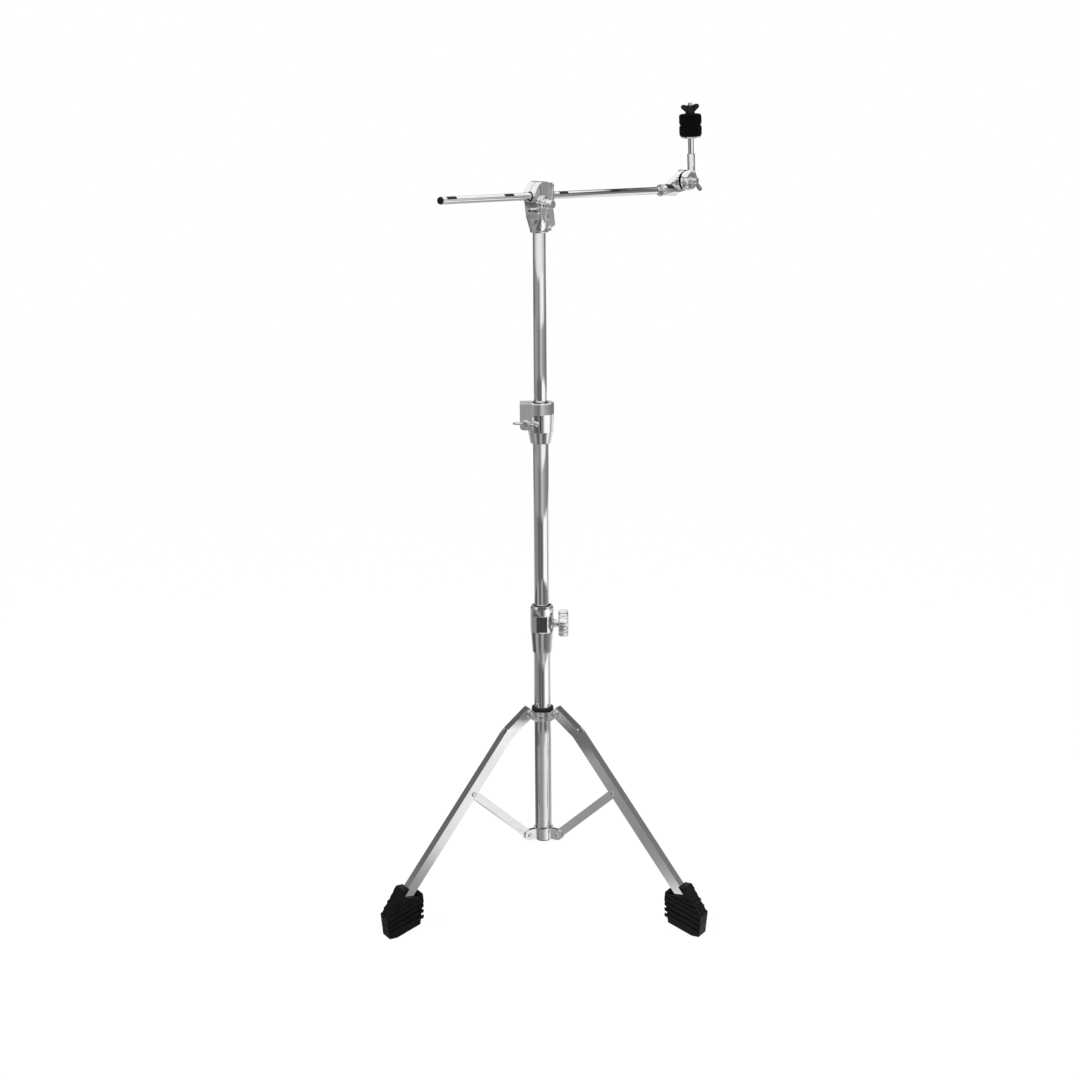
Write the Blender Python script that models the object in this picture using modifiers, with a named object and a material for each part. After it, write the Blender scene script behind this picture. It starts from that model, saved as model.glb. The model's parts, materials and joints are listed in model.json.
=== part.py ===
"""Cymbal boom stand: folding tripod, three telescoping tubes, boom arm and cymbal tilter.

Units are metres, +Z is up, and the origin lies on the floor below the middle of the stand's box.
The front of the stand looks along -Y. Two legs point forward to the left and the right,
and the third points straight back. Each moving group hangs from an empty on its joint's axis.
"""
import math

import bmesh
import bpy
from mathutils import Matrix, Vector

# Fits and facet counts
GAP = 0.0003
TUBE_CLEARANCE = 0.0003
UPPER_TUBE_CLEARANCE = 0.0010
ROUND_SIDES = 24
SMALL_SIDES = 12
CUT_MARGIN = 0.004
SHARP_ANGLE = math.radians(35)

# Column, which stands off the middle because the boom and the third leg reach out
COLUMN_X = -0.0045
COLUMN_Y = -0.0701
BASE_TUBE_RADIUS = 0.0145
BASE_TUBE_WALL = 0.0010
MIDDLE_TUBE_WALL = 0.0012
UPPER_TUBE_WALL = 0.0012
MIDDLE_TUBE_OVERLAP = 0.070
UPPER_TUBE_OVERLAP = 0.115

# Tripod: legs are bent channels, measured on their outer face
LEG_AZIMUTHS = (90.0, 210.0, 330.0)
LEG_WIDTH = 0.0160
LEG_DEPTH = 0.0175
LEG_WALL = 0.0015
LEG_PIVOT_RADIUS = 0.0280
LEG_PIVOT_DEPTH = 0.0115
LEG_TOP_REACH = 0.0050
SHOULDER_LENGTH = 0.0540
SHOULDER_SLOPE = math.radians(37.7)
LEG_LENGTH = 0.3585
LEG_SLOPE = math.radians(51.6)
KNEE_RADIUS = 0.045
LEG_PIN_RADIUS = 0.0026
PIN_HEAD_RADIUS = 0.0044
PIN_HEAD_HEIGHT = 0.0014

# Braces are flat straps between the legs and the lower hub
BRACE_REACH = 0.1210
BRACE_DEPTH_ON_LEG = 0.0125
BRACE_WIDTH = 0.0150
BRACE_THICKNESS = 0.0040
BRACE_PIN_RADIUS = 0.0025

# Lower hub, fixed on the foot of the base tube
HUB_PIVOT_HEIGHT = 0.1297
HUB_PIVOT_RADIUS = 0.0300
HUB_HEIGHT = 0.0200
HUB_WALL = 0.0030
HUB_EAR_RADIUS = 0.0095
HUB_EAR_THICKNESS = 0.0020
HUB_RIVET_RADIUS = 0.0022
PLUG_FLANGE = 0.0030
PLUG_STEM = 0.0120

# Leg collar, which slides on the base tube, and its black bush
COLLAR_WALL = 0.0044
COLLAR_SLIDE_GAP = 0.0004
COLLAR_HEIGHT = 0.0170
COLLAR_TOP_ABOVE_PIVOT = 0.0020
COLLAR_EAR_RADIUS = 0.0075
COLLAR_EAR_THICKNESS = 0.0024
BUSH_RING_HEIGHT = 0.0062
COLLAR_SCREW_AZIMUTH = 262.0
COLLAR_SCREW_RADIUS = 0.0020
COLLAR_SCREW_HEAD_RADIUS = 0.0040
COLLAR_SCREW_HEAD_HEIGHT = 0.0026

# Rubber feet, measured from the outer corner of the leg's end
FOOT_DROP = 0.0510
FOOT_WIDTH = 0.0300
FOOT_TOE = 0.0138
FOOT_CONTACT = 0.0140
FOOT_HEEL = 0.0450
FOOT_HEEL_RISE = 0.0150
FOOT_STEP_COUNT = 5
FOOT_STEP_DEPTH = 0.0017
FOOT_STEP_BOTTOM = 0.0360
FOOT_STEP_TOP = 0.0770
FOOT_TAB_TOP = 0.0840
FOOT_GROOVE_COUNT = 4
FOOT_GROOVE_WIDTH = 0.0018
FOOT_GROOVE_DEPTH = 0.0012
FOOT_GROOVE_PITCH = 0.0085

# Lower clamp with its knob, on top of the base tube
CLAMP_GRIP = 0.0360
LOWER_CLAMP_HEIGHT = 0.0835
BUSH_WALL = 0.0025
CLAMP_WALL = 0.0040
CLAMP_SKIRT_WALL = 0.0018
CLAMP_RING_HEIGHT = 0.0165
CLAMP_CHAMFER = 0.0040
CLAMP_GROOVE_DEPTH = 0.0010
CLAMP_GROOVE_WIDTH = 0.0012
CLAMP_FLAT_DEPTH = 0.0023
KNOB_HEIGHT = 0.5150
KNOB_ABOVE_CLAMP_BOTTOM = 0.0500
KNOB_RADIUS = 0.0245
KNOB_THICKNESS = 0.0170
KNOB_FLUTES = 10
KNOB_FLUTE_DEPTH = 0.0026
KNOB_STEM_RADIUS = 0.0040
KNOB_NECK_RADIUS = 0.0062
CLAMP_BOSS_RADIUS = 0.0075
CLAMP_BOSS_LENGTH = 0.0040

# Middle clamp with its bolt and wing nut, on top of the middle tube
MIDDLE_CLAMP_BOTTOM = 0.8355
MIDDLE_CLAMP_HEIGHT = 0.0695
MIDDLE_CLAMP_HEAD_HEIGHT = 0.0180
MIDDLE_CLAMP_WALL = 0.0090
MIDDLE_CLAMP_SKIRT_WALL = 0.0045
LUG_REACH = 0.0350
LUG_WIDTH = 0.0360
LUG_SLIT = 0.0024
LUG_ABOVE_CLAMP_BOTTOM = 0.0245
LUG_BOLT_REACH = 0.0255
LUG_BOLT_ABOVE_LUG = 0.0120
LUG_BOLT_RADIUS = 0.0030

# Boom yoke on the upper tube
ARM_HEIGHT = 1.2515
BOOM_AZIMUTH = math.radians(48.0)
BOOM_TILT = math.radians(2.0)
ARM_ABOVE_BOLT = 0.0125
YOKE_BELOW_BOLT = 0.0470
YOKE_SOCKET = 0.0160
YOKE_WALL = 0.0040
YOKE_CHEEK = 0.0050
YOKE_CHEEK_RADIUS = 0.0150
YOKE_WEB_BELOW_BOLT = 0.0235
YOKE_FUNNEL_BELOW_WEB = 0.0010
YOKE_SLEEVE = 0.0100
YOKE_LIP = 0.0008
YOKE_CHEEK_FOOT = 0.0110
YOKE_SCREW_AZIMUTH = 350.0
YOKE_SCREW_RADIUS = 0.0026
YOKE_SCREW_HEAD_RADIUS = 0.0042
YOKE_SCREW_HEAD_HEIGHT = 0.0050

# Boom holder: two halves that grip the arm through a liner
HOLDER_HALF = 0.0130
HOLDER_SPLIT = 0.0004
HOLDER_TOP_RADIUS = 0.0240
HOLDER_TOP_ABOVE_BOLT = 0.0130
HOLDER_BOTTOM_RADIUS = 0.0150
HOLDER_EDGE = 0.0030
LINER_WALL = 0.0012
HINGE_BOLT_RADIUS = 0.0030

# Boom arm, in lengths along the arm from the column's axis
ARM_RADIUS = 0.00635
ARM_WALL = 0.0012
ARM_LEFT = 0.2320
ARM_CAP_FLANGE = 0.0030
ARM_CAP_STEM = 0.0100

# Cymbal tilter at the arm's right end
SOCKET_BEFORE_PIVOT = 0.0740
ARM_IN_SOCKET = 0.0250
SOCKET_LENGTH = 0.0420
SOCKET_WALL = 0.0038
TILTER_REACH = 0.3940
TILTER_RISE = 0.0160
TILTER_DISC_RADIUS = 0.0180
TILTER_DISC_THICKNESS = 0.0120
TILTER_SPLIT = 0.0013
TILTER_BOLT_RADIUS = 0.0030
SOCKET_SCREW_RADIUS = 0.0024
SOCKET_SCREW_HEAD_RADIUS = 0.0038
SOCKET_SCREW_HEAD_HEIGHT = 0.0050

# Cymbal rod and what sits on it, in heights above the tilter's pivot
ROD_LEAN = math.radians(5.0)
ROD_RADIUS = 0.0040
ROD_OFFSET = 0.0060
ROD_BOTTOM = 0.0140
ROD_TOP = 0.1360
ROD_BOSS_WALL = 0.0028
ROD_BOSS_TOP = 0.0460
SEAT_STEM_WALL = 0.0010
SEAT_STEM_LENGTH = 0.0280
SEAT_FLANGE_RADIUS = 0.0185
SEAT_FLANGE_HEIGHT = 0.0030
FELT_RADIUS = 0.0203
FELT_HEIGHT = 0.0190
FELT_EDGE = 0.0025
TOP_NUT_RADIUS = 0.0085
TOP_NUT_HEIGHT = 0.0150

# Sizes that follow from the ones above
MIDDLE_TUBE_RADIUS = BASE_TUBE_RADIUS - BASE_TUBE_WALL - TUBE_CLEARANCE
UPPER_TUBE_RADIUS = MIDDLE_TUBE_RADIUS - MIDDLE_TUBE_WALL - UPPER_TUBE_CLEARANCE
COLLAR_RADIUS = BASE_TUBE_RADIUS + COLLAR_SLIDE_GAP + COLLAR_WALL
COLLAR_EAR_INNER = LEG_WIDTH / 2 + GAP
COLLAR_EAR_OUTER = COLLAR_EAR_INNER + COLLAR_EAR_THICKNESS
HUB_EAR_INNER = BRACE_THICKNESS / 2 + 0.0005
HUB_EAR_OUTER = HUB_EAR_INNER + HUB_EAR_THICKNESS
HUB_RADIUS = BASE_TUBE_RADIUS + GAP + HUB_WALL
HUB_BOTTOM = HUB_PIVOT_HEIGHT - HUB_HEIGHT / 2
LOWER_CLAMP_BOTTOM = KNOB_HEIGHT - KNOB_ABOVE_CLAMP_BOTTOM
BASE_TUBE_TOP = LOWER_CLAMP_BOTTOM + CLAMP_GRIP
MIDDLE_TUBE_TOP = MIDDLE_CLAMP_BOTTOM + CLAMP_GRIP
LUG_BOTTOM = MIDDLE_CLAMP_BOTTOM + LUG_ABOVE_CLAMP_BOTTOM
LUG_BOLT_HEIGHT = LUG_BOTTOM + LUG_BOLT_ABOVE_LUG
ARM_BOLT_HEIGHT = ARM_HEIGHT - ARM_ABOVE_BOLT
YOKE_BOTTOM = ARM_BOLT_HEIGHT - YOKE_BELOW_BOLT
SOCKET_START = TILTER_REACH - SOCKET_BEFORE_PIVOT
ARM_RIGHT = SOCKET_START + ARM_IN_SOCKET
LINER_RADIUS = ARM_RADIUS + GAP + LINER_WALL
HOLDER_OUTER = HOLDER_SPLIT + HOLDER_HALF
YOKE_CHEEK_INNER = HOLDER_OUTER + 0.0004
YOKE_CHEEK_OUTER = YOKE_CHEEK_INNER + YOKE_CHEEK
TILTER_FACE = TILTER_SPLIT + TILTER_DISC_THICKNESS

QUARTER = math.pi / 2
FULL = 2 * math.pi


for leftover in list(bpy.data.objects):
    bpy.data.objects.remove(leftover)

parts = bpy.data.collections.new("cymbal_stand")
cutters = bpy.data.collections.new("cutters")
for group in (parts, cutters):
    bpy.context.scene.collection.children.link(group)


def make_material(name, colour, roughness, metallic):
    finish = bpy.data.materials.new(name)
    finish.use_nodes = True
    shader = finish.node_tree.nodes["Principled BSDF"]
    shader.inputs["Base Color"].default_value = (*colour, 1.0)
    shader.inputs["Roughness"].default_value = roughness
    shader.inputs["Metallic"].default_value = metallic
    finish.diffuse_color = (*colour, 1.0)
    return finish


CHROME = make_material("chrome", (0.80, 0.80, 0.80), 0.08, 1.0)
STEEL = make_material("bright_steel", (0.62, 0.62, 0.63), 0.25, 1.0)
RUBBER = make_material("black_rubber", (0.012, 0.012, 0.012), 0.75, 0.0)
NYLON = make_material("black_nylon", (0.020, 0.020, 0.020), 0.45, 0.0)
FELT = make_material("black_felt", (0.010, 0.010, 0.010), 0.95, 0.0)
BLACK_PLASTIC = make_material("black_plastic", (0.015, 0.015, 0.015), 0.40, 0.0)


def axis_empty(name, parent, location=(0, 0, 0), rotation=(0, 0, 0)):
    """An empty that stands on a joint's axis and carries what moves with it."""
    empty = bpy.data.objects.new(name, None)
    empty.empty_display_size = 0.02
    empty.parent = parent
    empty.location = location
    empty.rotation_euler = rotation
    parts.objects.link(empty)
    return empty


def add_object(name, mesh, finish, parent, location=(0, 0, 0), rotation=(0, 0, 0)):
    """Link a mesh as a visible part, or as a hidden cutter where it has no finish."""
    part = bpy.data.objects.new(name, mesh)
    part.parent = parent
    part.location = location
    part.rotation_euler = rotation
    if finish is None:
        cutters.objects.link(part)
        part.hide_render = True
        part.display_type = "WIRE"
    else:
        parts.objects.link(part)
        mesh.materials.clear()
        mesh.materials.append(finish)
    return part


def smooth(mesh):
    mesh.shade_smooth()
    mesh.set_sharp_from_angle(angle=SHARP_ANGLE)


def evaluated_mesh(source):
    """The mesh of an object with its modifiers or curve shape worked out and welded."""
    graph = bpy.context.evaluated_depsgraph_get()
    mesh = bpy.data.meshes.new_from_object(source.evaluated_get(graph))
    welder = bmesh.new()
    welder.from_mesh(mesh)
    bmesh.ops.remove_doubles(welder, verts=welder.verts, dist=0.00001)
    welder.to_mesh(mesh)
    welder.free()
    bpy.data.objects.remove(source)
    return mesh


def turned(name, profile, finish, parent, location=(0, 0, 0), rotation=(0, 0, 0),
           hollow=False, sides=ROUND_SIDES):
    """Spin a profile of (radius, height) points about Z, listed down the outer side first."""
    mesh = bpy.data.meshes.new(name + "_profile")
    points = [(radius, 0.0, height) for radius, height in profile]
    edges = [(index, index + 1) for index in range(len(points) - 1)]
    if hollow:
        edges.append((len(points) - 1, 0))
    mesh.from_pydata(points, edges, [])
    source = bpy.data.objects.new(name + "_profile", mesh)
    cutters.objects.link(source)
    screw = source.modifiers.new("turn", "SCREW")
    screw.axis = "Z"
    screw.angle = FULL
    screw.steps = sides
    screw.render_steps = sides
    screw.use_merge_vertices = True
    screw.merge_threshold = 0.00001
    solid = evaluated_mesh(source)
    solid.name = name
    smooth(solid)
    return add_object(name, solid, finish, parent, location, rotation)


def plate(name, outline, near, far, finish, parent, location=(0, 0, 0), rotation=(0, 0, 0)):
    """A flat outline of (x, z) points, as thick as the stretch from near to far along Y."""
    curve = bpy.data.curves.new(name + "_outline", "CURVE")
    curve.dimensions = "2D"
    curve.fill_mode = "BOTH"
    curve.extrude = (far - near) / 2
    spline = curve.splines.new("POLY")
    spline.points.add(len(outline) - 1)
    for point, (x, z) in zip(spline.points, outline):
        point.co = (x, z, 0.0, 1.0)
    spline.use_cyclic_u = True
    source = bpy.data.objects.new(name + "_outline", curve)
    cutters.objects.link(source)
    solid = evaluated_mesh(source)
    solid.transform(Matrix.Rotation(QUARTER, 4, "X"))
    solid.transform(Matrix.Translation((0.0, (near + far) / 2, 0.0)))
    solid.name = name
    smooth(solid)
    return add_object(name, solid, finish, parent, location, rotation)


def cylinder(name, radius, start, end, finish, parent, location=(0, 0, 0), rotation=(0, 0, 0),
             sides=SMALL_SIDES):
    """A plain cylinder about Z from one height to another."""
    mesh = bpy.data.meshes.new(name)
    shape = bmesh.new()
    middle = Matrix.Translation((0.0, 0.0, (start + end) / 2))
    bmesh.ops.create_cone(shape, cap_ends=True, segments=sides, radius1=radius, radius2=radius,
                          depth=end - start, matrix=middle)
    shape.to_mesh(mesh)
    shape.free()
    smooth(mesh)
    return add_object(name, mesh, finish, parent, location, rotation)


def block(name, low, high, finish, parent, location=(0, 0, 0), rotation=(0, 0, 0)):
    """A box between two corners."""
    low, high = Vector(low), Vector(high)
    size = high - low
    mesh = bpy.data.meshes.new(name)
    shape = bmesh.new()
    matrix = Matrix.Translation((low + high) / 2) @ Matrix.Diagonal((*size, 1.0))
    bmesh.ops.create_cube(shape, size=1.0, matrix=matrix)
    shape.to_mesh(mesh)
    shape.free()
    return add_object(name, mesh, finish, parent, location, rotation)


def combine(target, tool, operation):
    change = target.modifiers.new(tool.name, "BOOLEAN")
    change.operation = operation
    change.solver = "EXACT"
    change.object = tool


def cut(target, *tools):
    for tool in tools:
        combine(target, tool, "DIFFERENCE")


def join(target, *tools):
    for tool in tools:
        combine(target, tool, "UNION")


def arc(centre, radius, start, end, steps):
    """Points on a circle of the (x, z) plane, from one angle to another."""
    angles = [start + (end - start) * step / steps for step in range(steps + 1)]
    return [(centre[0] + radius * math.cos(angle), centre[1] + radius * math.sin(angle))
            for angle in angles]


def link_outline(start, start_radius, end, end_radius, steps=8):
    """Outline of a flat link: two round ends joined by their common tangents."""
    along = math.atan2(end[1] - start[1], end[0] - start[0])
    distance = math.hypot(end[0] - start[0], end[1] - start[1])
    lean = math.acos((start_radius - end_radius) / distance)
    far_end = arc(end, end_radius, along - lean, along + lean, steps)
    near_end = arc(start, start_radius, along + lean, along - lean + FULL, steps)
    return far_end + near_end


def hexagon(radius):
    return arc((0.0, 0.0), radius, 0.0, FULL * 5 / 6, 5)


def hex_bolt(name, finish, parent, location, rotation, radius, grip, head_radius, head_height):
    """A bolt whose shank runs down from z = 0 and whose head stands above it."""
    bolt = turned(name, [(0.0, head_height / 2), (radius, head_height / 2), (radius, -grip), (0.0, -grip)],
                  finish, parent, location, rotation, sides=SMALL_SIDES)
    turn_up = Matrix.Rotation(QUARTER, 4, "X")
    head = plate(name + "_head", hexagon(head_radius), 0.0, head_height, None, parent, location, rotation)
    head.data.transform(turn_up)
    join(bolt, head)
    return bolt


def wing_nut(name, finish, parent, location, rotation, hub_radius, hub_height, bore, reach,
             wing_width, wing_thickness):
    """A wing nut that stands on z = 0 and is screwed on along Z. Its wings lie in the XZ plane."""
    taper = 0.82
    nut = turned(name, [(0.0, hub_height), (hub_radius * taper, hub_height),
                        (hub_radius, hub_height * 0.25), (hub_radius, 0.0), (0.0, 0.0)],
                 finish, parent, location, rotation, sides=SMALL_SIDES)
    root_height = hub_height * 0.50
    tip_radius = wing_width / 2
    tip_height = hub_height * 0.85
    for side in (-1, 1):
        root = (side * hub_radius * 0.45, root_height)
        tip = (side * (reach - tip_radius), tip_height)
        outline = link_outline(root, hub_height * 0.38, tip, tip_radius)
        wing = plate(f"{name}_wing_{side + 2}", outline, -wing_thickness / 2, wing_thickness / 2,
                     None, parent, location, rotation)
        join(nut, wing)
    hole = cylinder(name + "_bore", bore, -CUT_MARGIN, hub_height + CUT_MARGIN, None, parent,
                    location, rotation)
    cut(nut, hole)
    return nut


def across(name, radius, reach, parent, location, sides=SMALL_SIDES):
    """A round cutter along Y, through a pivot."""
    return cylinder(name, radius, -reach, reach, None, parent, location, (QUARTER, 0, 0), sides)


def head_pin(name, finish, parent, location, radius, reach, head_radius, head_height, shoulder=None):
    """A pin along Y with a low round head at each end, and an optional thicker middle."""
    top = reach + head_height
    profile = [(0.0, top), (head_radius * 0.75, top), (head_radius, reach + head_height * 0.4),
               (head_radius, reach), (radius, reach)]
    if shoulder:
        shoulder_radius, shoulder_from, shoulder_to = shoulder
        profile += [(radius, shoulder_to), (shoulder_radius, shoulder_to),
                    (shoulder_radius, shoulder_from), (radius, shoulder_from)]
    mirrored = [(r, -z) for r, z in reversed(profile)]
    return turned(name, profile + mirrored, finish, parent, location, (QUARTER, 0, 0),
                  sides=SMALL_SIDES)


# Points of the leg's plane, in (radius, height). Heights here are below the leg's pivot.
SHOULDER_RUN = (math.cos(SHOULDER_SLOPE), -math.sin(SHOULDER_SLOPE))
SHOULDER_OUT = (math.sin(SHOULDER_SLOPE), math.cos(SHOULDER_SLOPE))
LEG_RUN = (math.cos(LEG_SLOPE), -math.sin(LEG_SLOPE))
LEG_OUT = (math.sin(LEG_SLOPE), math.cos(LEG_SLOPE))


def shifted(point, *moves):
    """A point of the leg's plane moved by (direction, distance) pairs."""
    x, z = point
    for direction, distance in moves:
        x += direction[0] * distance
        z += direction[1] * distance
    return (x, z)


KNEE = shifted((0.0, 0.0), (SHOULDER_OUT, LEG_PIVOT_DEPTH), (SHOULDER_RUN, SHOULDER_LENGTH))
LEG_END = shifted(KNEE, (LEG_RUN, LEG_LENGTH))
BRACE_JOINT = shifted(KNEE, (LEG_RUN, BRACE_REACH), (LEG_OUT, -BRACE_DEPTH_ON_LEG))
LEG_PIVOT_HEIGHT = FOOT_DROP - LEG_END[1]
COLLAR_TOP = LEG_PIVOT_HEIGHT + COLLAR_TOP_ABOVE_PIVOT
COLLAR_BOTTOM = COLLAR_TOP - COLLAR_HEIGHT


def leg_outline(depth_from, depth_to, extra=0.0):
    """The bent leg between two depths below its outer face, longer by extra at both ends."""
    tangent = KNEE_RADIUS * math.tan((LEG_SLOPE - SHOULDER_SLOPE) / 2)
    start = shifted(KNEE, (SHOULDER_RUN, -SHOULDER_LENGTH - LEG_TOP_REACH - extra))
    centre = shifted(KNEE, (SHOULDER_RUN, -tangent), (SHOULDER_OUT, -KNEE_RADIUS))
    end = shifted(LEG_END, (LEG_RUN, extra))

    def side(depth):
        bend = arc(centre, KNEE_RADIUS - depth, QUARTER - SHOULDER_SLOPE, QUARTER - LEG_SLOPE, 4)
        return [shifted(start, (SHOULDER_OUT, -depth))] + bend + [shifted(end, (LEG_OUT, -depth))]

    return side(depth_from) + side(depth_to)[::-1]


def build_base():
    """Base tube, its end plug and the lower hub with its rivets."""
    inner = BASE_TUBE_RADIUS - BASE_TUBE_WALL
    turned("base_tube", [(BASE_TUBE_RADIUS, BASE_TUBE_TOP), (BASE_TUBE_RADIUS, HUB_BOTTOM),
                         (inner, HUB_BOTTOM), (inner, BASE_TUBE_TOP)], CHROME, column, hollow=True)

    plug_top = HUB_BOTTOM - GAP
    stem = inner - GAP
    turned("base_plug", [(0.0, HUB_BOTTOM + PLUG_STEM), (stem, HUB_BOTTOM + PLUG_STEM), (stem, plug_top),
                         (BASE_TUBE_RADIUS, plug_top), (BASE_TUBE_RADIUS * 0.9, plug_top - PLUG_FLANGE),
                         (0.0, plug_top - PLUG_FLANGE)], RUBBER, column)

    bore = BASE_TUBE_RADIUS + GAP
    hub_top = HUB_BOTTOM + HUB_HEIGHT
    hub = turned("lower_hub", [(bore, hub_top), (HUB_RADIUS, hub_top), (HUB_RADIUS, HUB_BOTTOM),
                               (bore, HUB_BOTTOM)], CHROME, column, hollow=True)
    for number, azimuth in enumerate(LEG_AZIMUTHS, 1):
        spot = axis_empty(f"hub_ear_{number}_place", column, (0, 0, HUB_PIVOT_HEIGHT),
                          (0, 0, math.radians(azimuth)))
        root = (BASE_TUBE_RADIUS + HUB_WALL / 2 + GAP, 0.0)
        pivot = (HUB_PIVOT_RADIUS, 0.0)
        ear_outline = [(root[0], -HUB_EAR_RADIUS)] + arc(pivot, HUB_EAR_RADIUS, -QUARTER, QUARTER, 10)
        ear_outline += [(root[0], HUB_EAR_RADIUS)]
        ears = plate(f"hub_ears_{number}", ear_outline, -HUB_EAR_OUTER, HUB_EAR_OUTER, None, spot)
        slot = block(f"hub_slot_{number}", (HUB_RADIUS, -HUB_EAR_INNER, -HUB_HEIGHT),
                     (HUB_PIVOT_RADIUS + 2 * HUB_EAR_RADIUS, HUB_EAR_INNER, HUB_HEIGHT), None, spot)
        hole = across(f"hub_hole_{number}", HUB_RIVET_RADIUS + GAP, HUB_EAR_OUTER + CUT_MARGIN, spot,
                      (pivot[0], 0, 0))
        join(hub, ears)
        cut(hub, slot)
        cut(hub, hole)
        for side, mark in ((1, "a"), (-1, "b")):
            head = HUB_EAR_OUTER + GAP
            turned(f"hub_rivet_{number}{mark}",
                   [(0.0, head + PIN_HEAD_HEIGHT), (PIN_HEAD_RADIUS * 0.7, head + PIN_HEAD_HEIGHT),
                    (PIN_HEAD_RADIUS, head), (HUB_RIVET_RADIUS, head), (HUB_RIVET_RADIUS, HUB_EAR_INNER),
                    (0.0, HUB_EAR_INNER)], STEEL, spot, (pivot[0], 0, 0), (-side * QUARTER, 0, 0),
                   sides=SMALL_SIDES)


def build_lower_clamp():
    """Clamp on the base tube's top, the bush in it and the fluted knob on its right."""
    bush_bore = MIDDLE_TUBE_RADIUS + GAP
    bush_radius = bush_bore + BUSH_WALL
    bore = bush_radius + GAP
    barrel = bore + CLAMP_WALL
    tube_bore = BASE_TUBE_RADIUS + GAP
    skirt = tube_bore + CLAMP_SKIRT_WALL
    top = LOWER_CLAMP_BOTTOM + LOWER_CLAMP_HEIGHT
    step = BASE_TUBE_TOP + GAP
    ring_bottom = top - CLAMP_RING_HEIGHT
    groove = barrel - CLAMP_GROOVE_DEPTH
    skirt_top = step + GAP
    profile = [
        (bore, top), (barrel - CLAMP_CHAMFER / 2, top), (barrel, top - CLAMP_CHAMFER),
        (barrel, ring_bottom), (groove, ring_bottom), (groove, ring_bottom - CLAMP_GROOVE_WIDTH),
        (barrel, ring_bottom - CLAMP_GROOVE_WIDTH), (barrel, skirt_top + CLAMP_GROOVE_WIDTH),
        (groove, skirt_top + CLAMP_GROOVE_WIDTH), (groove, skirt_top),
        (skirt, LOWER_CLAMP_BOTTOM), (tube_bore, LOWER_CLAMP_BOTTOM), (tube_bore, step), (bore, step)]
    clamp = turned("lower_clamp", profile, CHROME, column, hollow=True)

    flat_front = -(barrel - CLAMP_FLAT_DEPTH)
    flat = block("lower_clamp_flat", (-barrel, -2 * barrel, skirt_top + CLAMP_GROOVE_WIDTH),
                 (barrel, flat_front, ring_bottom - CLAMP_GROOVE_WIDTH), None, column)
    cut(clamp, flat)

    knob_spot = axis_empty("clamp_knob_axis", column, (0, 0, KNOB_HEIGHT), (0, QUARTER, 0))
    boss_end = barrel + CLAMP_BOSS_LENGTH
    boss = cylinder("lower_clamp_boss", CLAMP_BOSS_RADIUS, bore + CLAMP_WALL / 2, boss_end, None, knob_spot)
    hole = cylinder("lower_clamp_hole", KNOB_STEM_RADIUS + GAP, bore - GAP, boss_end + CUT_MARGIN, None,
                    knob_spot)
    join(clamp, boss)
    cut(clamp, hole)

    turned("lower_bush", [(bush_bore, top - GAP), (bush_radius, top - GAP), (bush_radius, step + GAP),
                          (bush_bore, step + GAP)], NYLON, middle_turn, hollow=True)

    neck_start = boss_end + GAP
    knob_start = neck_start + CLAMP_BOSS_LENGTH
    knob = turned("clamp_knob",
                  [(0.0, knob_start + CUT_MARGIN), (KNOB_NECK_RADIUS, knob_start + CUT_MARGIN),
                   (KNOB_NECK_RADIUS, neck_start), (KNOB_STEM_RADIUS, neck_start),
                   (KNOB_STEM_RADIUS, bore + GAP), (0.0, bore + GAP)], CHROME, knob_spot,
                  sides=SMALL_SIDES)
    head = fluted_head("clamp_knob_head", knob_start, knob_spot)
    join(knob, head)


def fluted_head(name, start, parent):
    """The knob's drum: one fluted outline, raised in three steps with a crown on both faces."""
    sides = KNOB_FLUTES * 6
    crown = KNOB_THICKNESS * 0.22
    rim = 0.90
    shape = bmesh.new()
    circle = bmesh.ops.create_circle(shape, cap_ends=True, segments=sides, radius=1.0)
    for vert in circle["verts"]:
        angle = math.atan2(vert.co.y, vert.co.x)
        radius = KNOB_RADIUS - KNOB_FLUTE_DEPTH * (0.5 - 0.5 * math.cos(KNOB_FLUTES * angle))
        vert.co = (radius * math.cos(angle) * rim, radius * math.sin(angle) * rim, start)
    face = next(iter(shape.faces))
    for rise, scale in ((crown, 1 / rim), (KNOB_THICKNESS - 2 * crown, 1.0), (crown, rim)):
        raised = bmesh.ops.extrude_face_region(shape, geom=[face])
        verts = [item for item in raised["geom"] if isinstance(item, bmesh.types.BMVert)]
        if face.is_valid and len(shape.faces) > sides + 2:
            shape.faces.remove(face)
        bmesh.ops.scale(shape, vec=(scale, scale, 1.0), verts=verts)
        bmesh.ops.translate(shape, vec=(0, 0, rise), verts=verts)
        face = next(item for item in raised["geom"] if isinstance(item, bmesh.types.BMFace))
    bmesh.ops.recalc_face_normals(shape, faces=shape.faces)
    mesh = bpy.data.meshes.new(name)
    shape.to_mesh(mesh)
    shape.free()
    smooth(mesh)
    return add_object(name, mesh, None, parent)


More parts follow.
